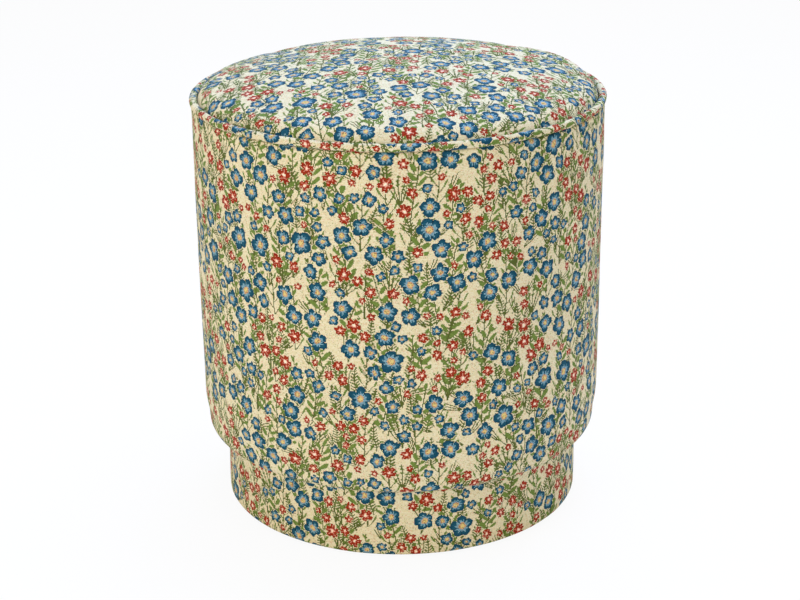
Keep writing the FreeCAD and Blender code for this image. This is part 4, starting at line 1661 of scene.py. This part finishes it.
    def stuff(self, piece: bpy.types.Object) -> None:
        """Fills the cover: cloth simulation under pressure, with the moves capped.

        Args:
            piece: The seat cover, whose mesh is changed in place.
        """
        mesh, scene = piece.data, bpy.context.scene
        start = numbers(mesh.vertices, "co", 3)
        radius = np.hypot(start[:, 0], start[:, 1]) / MM
        pins = piece.vertex_groups.new(name="sewn")
        pins.add(np.nonzero(radius > self.sewn_from)[0].tolist(), 1.0, "ADD")
        modifier = piece.modifiers.new("stuffing", "CLOTH")
        for title, value in STUFFING.items():
            setattr(modifier.settings, title, value)
        modifier.settings.effector_weights.gravity = 0.0
        modifier.settings.vertex_group_mass = pins.name
        modifier.collision_settings.use_collision = False
        scene.frame_start, scene.frame_end = 1, self.frames
        for step in range(1, self.frames + 1):
            scene.frame_set(step)
        ready = piece.evaluated_get(bpy.context.evaluated_depsgraph_get())
        moved = numbers(ready.data.vertices, "co", 3) - start
        piece.modifiers.remove(modifier)
        scene.frame_set(1)
        most = self.most_move * MM
        size = np.linalg.norm(moved, axis=1, keepdims=True)
        moved *= np.where(size > most, most / np.maximum(size, 1e-9), 1.0)
        moved *= np.clip((self.free_within - radius) / self.free_over, 0.0, 1.0)[:, None]
        LOG.info("stuffing moved the seat by up to %.1f mm", np.abs(moved).max() / MM)
        mesh.vertices.foreach_set("co", (start + moved).ravel())
        piece.vertex_groups.remove(pins)

    def shape(self, mesh: bpy.types.Mesh) -> None:
        """Gives the dome the real one's slight lopsidedness and the gathers at its seam."""
        ring, ring_width = self.gather_ring
        for vertex in mesh.vertices:
            x, y, z = vertex.co / MM
            radius, way = math.hypot(x, y), math.atan2(y, x)
            soft = self.softness.at(way, radius) * self.soft_fade.at(radius)
            full = self.full.at(x, y) * self.full_fade.at(radius)
            gather = self.gathers.at(way, 0.0) * math.exp(-((radius - ring) ** 2) / ring_width**2)
            level = z + (soft + self.sunk.at(x, y)) * self.seam_fade.at(radius)
            vertex.co.z = (level + full + gather) * MM

    def turn_in(self, mesh: bpy.types.Mesh) -> None:
        """Turns the cloth in under the seam, as a flange."""
        shell = bmesh.new()
        shell.from_mesh(mesh)
        cloth = shell.loops.layers.uv[CLOTH_MAP]
        edges = [edge for edge in shell.edges if edge.is_boundary]
        turned = bmesh.ops.extrude_edge_only(shell, edges=edges)["geom"]
        for vertex in [item for item in turned if isinstance(item, bmesh.types.BMVert)]:
            factor = self.turned_in * MM / math.hypot(vertex.co.x, vertex.co.y)
            vertex.co.x *= factor
            vertex.co.y *= factor
            vertex.co.z = self.foot * MM
        for face in [item for item in turned if isinstance(item, bmesh.types.BMFace)]:
            for loop in face.loops:
                places = zip(loop.vert.co, self.flange_start)
                loop[cloth].uv = [place + start * MM for place, start in places]
        bmesh.ops.recalc_face_normals(shell, faces=shell.faces)
        shell.to_mesh(mesh)
        shell.free()

    def lay_bake_map(self, mesh: bpy.types.Mesh, shown: int) -> None:
        """Lays the shown faces in a large disc and the hidden ones small in a corner."""
        flat = numbers(mesh.uv_layers[CLOTH_MAP].data, "uv", 2)
        corner = numbers(mesh.loops, "vertex_index", 1, np.int32)[:, 0]
        place = numbers(mesh.vertices, "co", 3)[corner][:, :2]
        disc = 0.5 + (flat / MM - self.cloth_middle) / self.whole_run * self.bake_disc
        small = self.bake_corner + place / MM / self.hidden_radius * self.bake_hidden
        hidden = np.arange(len(mesh.loops)) >= shown * 4
        lay_map(mesh, BAKE_MAP, np.where(hidden[:, None], small, disc))

    def build(self) -> None:
        """Builds, fills and dresses the seat cover and the fibre under it."""
        piece = plain_object(self.sheet(), TAPESTRY)
        self.stuff(piece)
        self.shape(piece.data)
        fibre = plain_object(self.fibre(piece.data), FIBRE)
        settle(fibre, FIBRE, "seat_wadding")
        smoother = piece.modifiers.new("smoother", "SUBSURF")
        smoother.levels = smoother.render_levels = 1
        smoother.boundary_smooth = "PRESERVE_CORNERS"
        piece.data = ready_mesh(piece)
        shown = len(piece.data.polygons)
        self.turn_in(piece.data)
        thick = piece.modifiers.new("cloth", "SOLIDIFY")
        thick.thickness = self.cloth * MM
        thick.offset = -1.0
        piece.data = ready_mesh(piece)
        self.lay_bake_map(piece.data, shown)
        smoothed(piece.data)
        settle(piece, TAPESTRY, "seat_cover")


# Pieces grown by Geometry Nodes


class Grower(Tree):
    """A Geometry Nodes tree with named inputs that is run once and leaves a plain mesh."""

    def __init__(self, name: str, sizes: dict[str, float]) -> None:
        """Names the tree's inputs.

        Args:
            name: The tree's and the piece's name.
            sizes: The named inputs and their values.
        """
        super().__init__(bpy.data.node_groups.new(name, "GeometryNodeTree"))
        self.name = name
        self.keys = {}
        for title, value in sizes.items():
            kind = "NodeSocketInt" if isinstance(value, int) else "NodeSocketFloat"
            made = self.tree.interface.new_socket(title, in_out="INPUT", socket_type=kind)
            self.keys[made.identifier] = value
        self.tree.interface.new_socket("Piece", in_out="OUTPUT", socket_type="NodeSocketGeometry")
        self.start = self.tree.nodes.new("NodeGroupInput")

    def size(self, title: str) -> Sig:
        """A named input."""
        return Sig(self, self.start.outputs[title])

    def ring(self, count: Value, radius: Value, start: float) -> Sig:
        """A curve once round a circle, whose two ends meet at an angle."""
        values = {"Resolution": count, "Radius": radius, "Start Angle": start, "Sweep Angle": math.tau}
        return self.add("GeometryNodeCurveArc", {"mode": "RADIUS"}, values)

    def circle(self, count: Value, radius: Value) -> Sig:
        """A closed circle."""
        values = {"Resolution": count, "Radius": radius}
        return self.add("GeometryNodeCurvePrimitiveCircle", {"mode": "RADIUS"}, values)

    def set_round(self, shape: Sig, values: dict) -> Sig:
        """Sets copies of a shape in a circle, by the inputs Count and Circle."""
        circle = self.circle(self.size("Count"), self.size("Circle"))
        seats = self.add("GeometryNodeCurveToPoints", {"mode": "EVALUATED"}, {"Curve": circle})
        values = {"Points": seats, "Instance": shape, **values}
        return self.add("GeometryNodeInstanceOnPoints", {}, values)

    def swept(self, path: Sig, loop: Sig, values: dict) -> Sig:
        """Sweeps a loop along a path."""
        values = {"Curve": path, "Profile Curve": loop, **values}
        return self.add("GeometryNodeCurveToMesh", {}, values)

    def moved(self, shape: Sig, values: dict) -> Sig:
        """Moves the points of a shape."""
        return self.add("GeometryNodeSetPosition", {}, {"Geometry": shape, **values})

    def grow(self, shape: Sig, finish: Finish) -> bpy.types.Object:
        """Ends the tree, runs it and puts its plain mesh in the scene.

        Args:
            shape: The geometry.
            finish: The piece's finish.

        Returns:
            The piece.
        """
        whole = self.add("GeometryNodeRealizeInstances", {}, {"Geometry": shape})
        values = {"Geometry": whole, "Material": finish.material()}
        self.end("NodeGroupOutput", self.add("GeometryNodeSetMaterial", {}, values))
        seed = stand(self.name, bpy.data.meshes.new(self.name + "_seed"))
        modifier = seed.modifiers.new(self.name, "NODES")
        modifier.node_group = self.tree
        for key, value in self.keys.items():
            modifier[key] = value
        mesh = ready_mesh(seed)
        bpy.data.objects.remove(seed)
        mesh.name = self.name
        return plain_object(mesh, finish)


@dataclass
class Piping:
    """The covered cord in the seam between the seat and the drum."""

    circle: float = 204.8
    level: float = 427.1
    radius: float = 3.9
    around: int = 20
    along: int = 640
    unevenness: float = 0.35
    seed: float = 3.0
    bias_start: float = 0.35
    bake_rows: int = 6

    def build(self) -> None:
        """Sweeps the piping round the seam and dresses it."""
        sizes = {
            "Circle": self.circle * MM,
            "Level": self.level * MM,
            "Radius": self.radius * MM,
            "Along": self.along + 1,
            "Around": self.around + 1,
            "Unevenness": self.unevenness * MM,
            "Seed": self.seed,
        }
        tree = Grower("seat_piping", sizes)
        spine = tree.ring(tree.size("Along"), tree.size("Circle"), math.pi / 2)
        place = tree.add("GeometryNodeInputPosition", {}, {})
        lifted = tree.vector("ADD", place, tree.joined(0.0, 0.0, tree.size("Seed")))
        wobble = tree.scaled(tree.drift(lifted, 22.0, 1.0), tree.size("Unevenness") * 2.0)
        offset = tree.vector("ADD", wobble, tree.joined(0.0, 0.0, tree.size("Level")))
        thick = 0.985 + tree.cloud(lifted, 60.0, 1.0) * 0.05
        values = {"Curve": tree.moved(spine, {"Offset": offset}), "Radius": thick}
        spine = tree.add("GeometryNodeSetCurveRadius", {}, values)
        loop = tree.ring(tree.size("Around"), tree.size("Radius"), math.pi)
        spine, run = self.keep_length(tree, spine)
        loop, lap = self.keep_length(tree, loop)
        tube = tree.swept(spine, loop, {"Scale": 1.0})
        settings = {"data_type": "FLOAT2", "domain": "CORNER"}
        values = {"Geometry": tube, "Name": CLOTH_MAP, "Value": tree.joined(run, lap)}
        tube = tree.add("GeometryNodeStoreNamedAttribute", settings, values)
        tube = tree.add("GeometryNodeMergeByDistance", {}, {"Geometry": tube, "Distance": 0.01 * MM})
        piece = tree.grow(tube, TAPESTRY)
        self.lay_maps(piece.data)
        settle(piece, TAPESTRY, "piping")

    def keep_length(self, tree: Grower, curve: Sig) -> tuple[Sig, Sig]:
        """Keeps the length along a curve for the mesh that is made of it."""
        length = tree.add("GeometryNodeSplineParameter", {}, {}, "Length")
        keeper = tree.tree.nodes.new("GeometryNodeCaptureAttribute")
        keeper.capture_items.new("FLOAT", "run")
        tree.link(curve, keeper.inputs[0])
        tree.link(length, keeper.inputs[1])
        return Sig(tree, keeper.outputs[0]), Sig(tree, keeper.outputs[1])

    def lay_maps(self, mesh: bpy.types.Mesh) -> None:
        """Turns the cloth map to the bias, and adds a bake map in rows."""
        run, lap = numbers(mesh.uv_layers[CLOTH_MAP].data, "uv", 2).T
        slant = math.sqrt(0.5)
        bias = [(run - lap) * slant, (run + lap) * slant + self.bias_start]
        lay_map(mesh, CLOTH_MAP, np.stack(bias, 1))
        whole, girth = run.max(), lap.max()
        middle = run.reshape(-1, 4).mean(1)
        row = np.clip(np.floor(middle / whole * self.bake_rows), 0, self.bake_rows - 1).repeat(4)
        across = 0.01 + (run / whole * self.bake_rows - row) * 0.98
        up = (row + 0.03 + lap / girth * 0.94) / self.bake_rows
        lay_map(mesh, BAKE_MAP, np.stack([across, up], 1))


@dataclass
class Underside:
    """Black lining, its staples and the glides that the tuffet stands on."""

    lining_radius: float = 174.2
    lining_under: float = 3.0
    lining: float = 0.6
    lining_rings: int = 44
    lining_columns: int = 192
    slack: Wave = Wave(5.0, 0.02, 7.0, 0.22)
    pull: float = 0.9
    fold: float = 0.16
    rise: float = 0.3
    looseness: float = 0.6
    middle_rise: float = 0.2
    staple_circle: float = 170.2
    staples: int = 16
    staple_width: float = 10.0
    wire: float = 0.5
    leg: float = 7.0
    glide_circle: float = 144.3
    glides: int = 6
    glide_radius: float = 11.0
    glide_height: float = 3.0

    def lining_point(self, share: float, turn: float) -> tuple[float, float, float]:
        """A place on the lining's under side, drawn tight between the staples.

        Args:
            share: How far out it lies, from 0 to 1.
            turn: Its angle from the back.

        Returns:
            The place in metres.
        """
        between = math.cos(turn * self.staples)
        radius = self.lining_radius * share - (1 - between) * self.pull * share**8
        sag = self.slack.at(turn, radius) * (1 - share**6)
        fold = between * self.fold * share**5 * (1 - share**10)
        rise = (sag + fold + self.rise) * self.looseness * (1 - share**12)
        return round_point(radius, turn, self.lining_under + rise)

    def build_lining(self) -> None:
        """Builds the lining with a turned edge."""
        rings, columns = self.lining_rings, self.lining_columns
        turns = [math.tau * column / columns for column in range(columns)]
        shares = [(ring + 1) / rings for ring in range(rings)]
        under = [self.lining_point(share, turn) for share in shares for turn in turns]
        under.append((0.0, 0.0, (self.lining_under + self.middle_rise) * MM))
        layer, edge = len(under), (rings - 1) * columns
        over = [(x, y, z + self.lining * MM) for x, y, z in under]
        faces = []
        for column in range(columns):
            after = (column + 1) % columns
            for low in range(0, edge, columns):
                high = low + columns
                below = (low + column, low + after, high + after, high + column)
                faces += [below, tuple(layer + knot for knot in reversed(below))]
            faces.append((edge + column, edge + after, layer + edge + after, layer + edge + column))
            faces.append((layer - 1, after, column))
            faces.append((layer * 2 - 1, layer + column, layer + after))
        piece = plain_object(plain_mesh("base_lining", under + over, faces), LINING)
        settle(piece, LINING, "bottom_lining")

    def build_staples(self) -> None:
        """Shoots the lining's staples round its edge."""
        sizes = {
            "Circle": self.staple_circle * MM,
            "Count": self.staples,
            "Width": self.staple_width * MM,
            "Wire": self.wire * MM,
            "Leg": self.leg * MM,
            "Level": self.lining_under * MM,
        }
        tree = Grower("lining_wire", sizes)
        half, wire, leg = tree.size("Width") / 2.0, tree.size("Wire") / 2.0, tree.size("Leg")
        bend = wire * 3.0
        side = [(wire - half, leg), (wire - half, bend), (bend - half, wire)]
        side += [(half - bend, wire), (half - wire, bend), (half - wire, leg)]
        points = [tree.joined(x, 0.0, z) for x, z in side]
        loop = tree.circle(8, wire * 1.08)
        joiner = tree.tree.nodes.new("GeometryNodeJoinGeometry")
        for start, end in reversed(list(zip(points, points[1:]))):
            values = {"Start": start, "End": end}
            run = tree.add("GeometryNodeCurvePrimitiveLine", {"mode": "POINTS"}, values)
            tree.link(tree.swept(run, loop, {"Fill Caps": True}), joiner.inputs[0])
        index = tree.add("GeometryNodeInputIndex", {}, {})
        turn = index * math.tau / tree.size("Count") + math.pi / 2
        facing = {"Rotation": tree.joined(0.0, 0.0, turn)}
        placed = tree.set_round(Sig(tree, joiner.outputs[0]), facing)
        level = tree.joined(0.0, 0.0, tree.size("Level"))
        settle(tree.grow(tree.moved(placed, {"Offset": level}), WIRE), WIRE, "lining_staples")

    def build_glides(self) -> None:
        """Moulds one glide with a rounded, dished sole and sets it round the base."""
        sizes = {
            "Circle": self.glide_circle * MM,
            "Count": self.glides,
            "Radius": self.glide_radius * MM,
            "Height": self.glide_height * MM,
        }
        tree = Grower("base_glides", sizes)
        height = tree.size("Height")
        values = {
            "Vertices": 48,
            "Side Segments": 6,
            "Fill Segments": 10,
            "Radius": tree.size("Radius"),
            "Depth": height,
        }
        disc = tree.add("GeometryNodeMeshCylinder", {"fill_type": "TRIANGLE_FAN"}, values)
        x, y, z = tree.split(tree.add("GeometryNodeInputPosition", {}, {}))
        radius = tree.math("SQRT", x * x + y * y) / tree.size("Radius")
        low = 0.5 - z / height
        tuck = 1.0 - 0.1 * (low * low * low) * (radius > 0.99)
        step = tree.math("SMOOTH_MAX", 0.0, radius - 0.9, 0.02) * 3.4
        dish = (radius < 0.46) * 0.16 + step * low
        sole = z + (low > 0.99) * dish * height + height / 2.0
        shaped = tree.moved(disc, {"Position": tree.joined(x * tuck, y * tuck, sole)})
        names = [f"glide_{number}" for number in range(1, self.glides + 1)]
        settle(tree.grow(tree.set_round(shaped, {}), GLIDE), GLIDE, *names)

    def build(self) -> None:
        """Builds everything under the base."""
        self.build_lining()
        self.build_staples()
        self.build_glides()


@dataclass
class InnerFrame:
    """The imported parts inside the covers, which keep their shapes and get their finishes."""

    finishes: tuple[Finish, ...] = (
        CordFinish(),
        FOAM,
        FIBRE,
        HardboardFinish(),
        WoodFinish(
            slot="plywood", pale="e2c899", dark="b58d5c", layer=1.7, stretch=(0.08, 1.0, 1.0)
        ),
        WoodFinish(),
        MetalFinish(),
        WIRE,
        GLIDE,
        LINING,
        TAPESTRY,
    )

    def dress(self) -> int:
        """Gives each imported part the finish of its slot.

        Returns:
            How many parts were dressed.
        """
        by_slot = {finish.slot: finish for finish in self.finishes}
        slots = {}
        for node in frame["record"].get("nodes", []):
            slots[node.get("name")] = node.get("material_slot") or node.get("slot")
        count = 0
        for name, piece in frame["nodes"].items():
            for holder in piece.material_slots:
                title = holder.material.name.split(".")[0] if holder.material else ""
                finish = by_slot.get(title) or by_slot.get(slots.get(name, ""))
                if finish is None:
                    LOG.warning("%s has no finish for %s", name, title)
                    continue
                holder.material = finish.material()
                count += 1
        return count


# Studio


@dataclass(frozen=True)
class Lamp:
    """A soft square lamp: where it hangs, its side in metres, its power in watts and its colour."""

    name: str
    place: tuple[float, float, float]
    side: float
    power: float
    tone: str

    def hang(self, aim: Vector) -> None:
        """Hangs the lamp, pointed at a place."""
        light = bpy.data.lights.new(self.name, "AREA")
        light.shape = "SQUARE"
        light.size = self.side
        light.energy = self.power
        light.color = paint(self.tone)[:3]
        turn = (aim - Vector(self.place)).to_track_quat("-Z", "Y").to_matrix().to_4x4()
        stand(self.name, light).matrix_world = Matrix.Translation(self.place) @ turn


@dataclass
class Studio:
    """Pale floor, soft lamps and the camera. Sizes here are metres and radians."""

    focal: float = 80.03
    eye: tuple[float, float, float] = (0.0, -1.7451, 0.8621)
    pitch: float = 0.3605
    roll: float = -0.0109
    floor_side: float = 14.0
    floor_tone: str = "f2f1ef"
    floor_glow: float = 0.93
    world_light: float = 0.55
    aim: tuple[float, float, float] = (0.0, 0.0, 0.3)
    lamps: tuple[Lamp, ...] = (
        Lamp("key", (-1.8, -1.8, 0.8), 1.3, 29.5, "fffbf5"),
        Lamp("fill", (1.7, -1.6, 0.7), 1.4, 11.0, "fffbf5"),
        Lamp("top", (0.3, 0.6, 2.2), 1.6, 73.0, "a9c6ff"),
    )

    def camera(self) -> None:
        """Stands the camera where the photograph was taken."""
        lens = bpy.data.cameras.new("view")
        lens.sensor_width = 36.0
        lens.lens = self.focal
        lens.clip_start = 0.05
        lens.clip_end = 60.0
        eye = stand("view", lens)
        turn = Matrix.Rotation(math.pi / 2 - self.pitch, 4, "X") @ Matrix.Rotation(self.roll, 4, "Z")
        eye.matrix_world = Matrix.Translation(self.eye) @ turn
        bpy.context.scene.camera = eye

    def shown_ray(self, tree: Tree) -> Sig:
        """1 for rays that show the background itself."""
        path = tree.tree.nodes.new("ShaderNodeLightPath")
        rays = [Sig(tree, path.outputs[title]) for title in ("Is Camera Ray", "Is Glossy Ray")]
        return tree.math("MAXIMUM", rays[0], rays[1])

    def floor(self) -> None:
        """Lays a large plain floor that shows almost white and keeps the shadow."""
        far = self.floor_side
        corners = [(-far, -far, 0.0), (far, -far, 0.0), (far, far, 0.0), (-far, far, 0.0)]
        mesh = plain_mesh("studio_floor", corners, [(0, 1, 2, 3)])
        made = bpy.data.materials.new("studio_floor")
        tree = emptied(made)
        matt = tree.add("ShaderNodeBsdfDiffuse", {}, {"Color": self.floor_tone})
        glow = tree.add("ShaderNodeEmission", {}, {"Color": WHITE, "Strength": 1.0})
        share = self.shown_ray(tree) * self.floor_glow
        surface = tree.add("ShaderNodeMixShader", {}, {0: share, 1: matt, 2: glow})
        tree.end("ShaderNodeOutputMaterial", surface)
        mesh.materials.append(made)
        stand("studio_floor", mesh)

    def world(self) -> None:
        """Lights everything evenly, and shows white behind the floor."""
        sky = bpy.data.worlds.new("studio")
        bpy.context.scene.world = sky
        tree = emptied(sky)
        strength = self.world_light + self.shown_ray(tree) * (1.0 - self.world_light)
        light = tree.add("ShaderNodeBackground", {}, {"Color": WHITE, "Strength": strength})
        tree.end("ShaderNodeOutputWorld", light)

    def build(self) -> None:
        """Sets up the studio."""
        self.camera()
        self.floor()
        self.world()
        for lamp in self.lamps:
            lamp.hang(Vector(self.aim))


def main() -> None:
    """Builds the studio and every piece in order."""
    logging.basicConfig(level=logging.INFO, format="%(name)s %(message)s", stream=sys.stdout)
    bpy.context.scene.view_settings.view_transform = "Standard"
    Studio().build()
    LOG.info("studio ready")
    for part in (Drum(), Seat(), Piping(), Plinth(), Underside()):
        part.build()
    LOG.info("%d packed finishes", InnerFrame().dress())


if __name__ == "__main__":
    main()
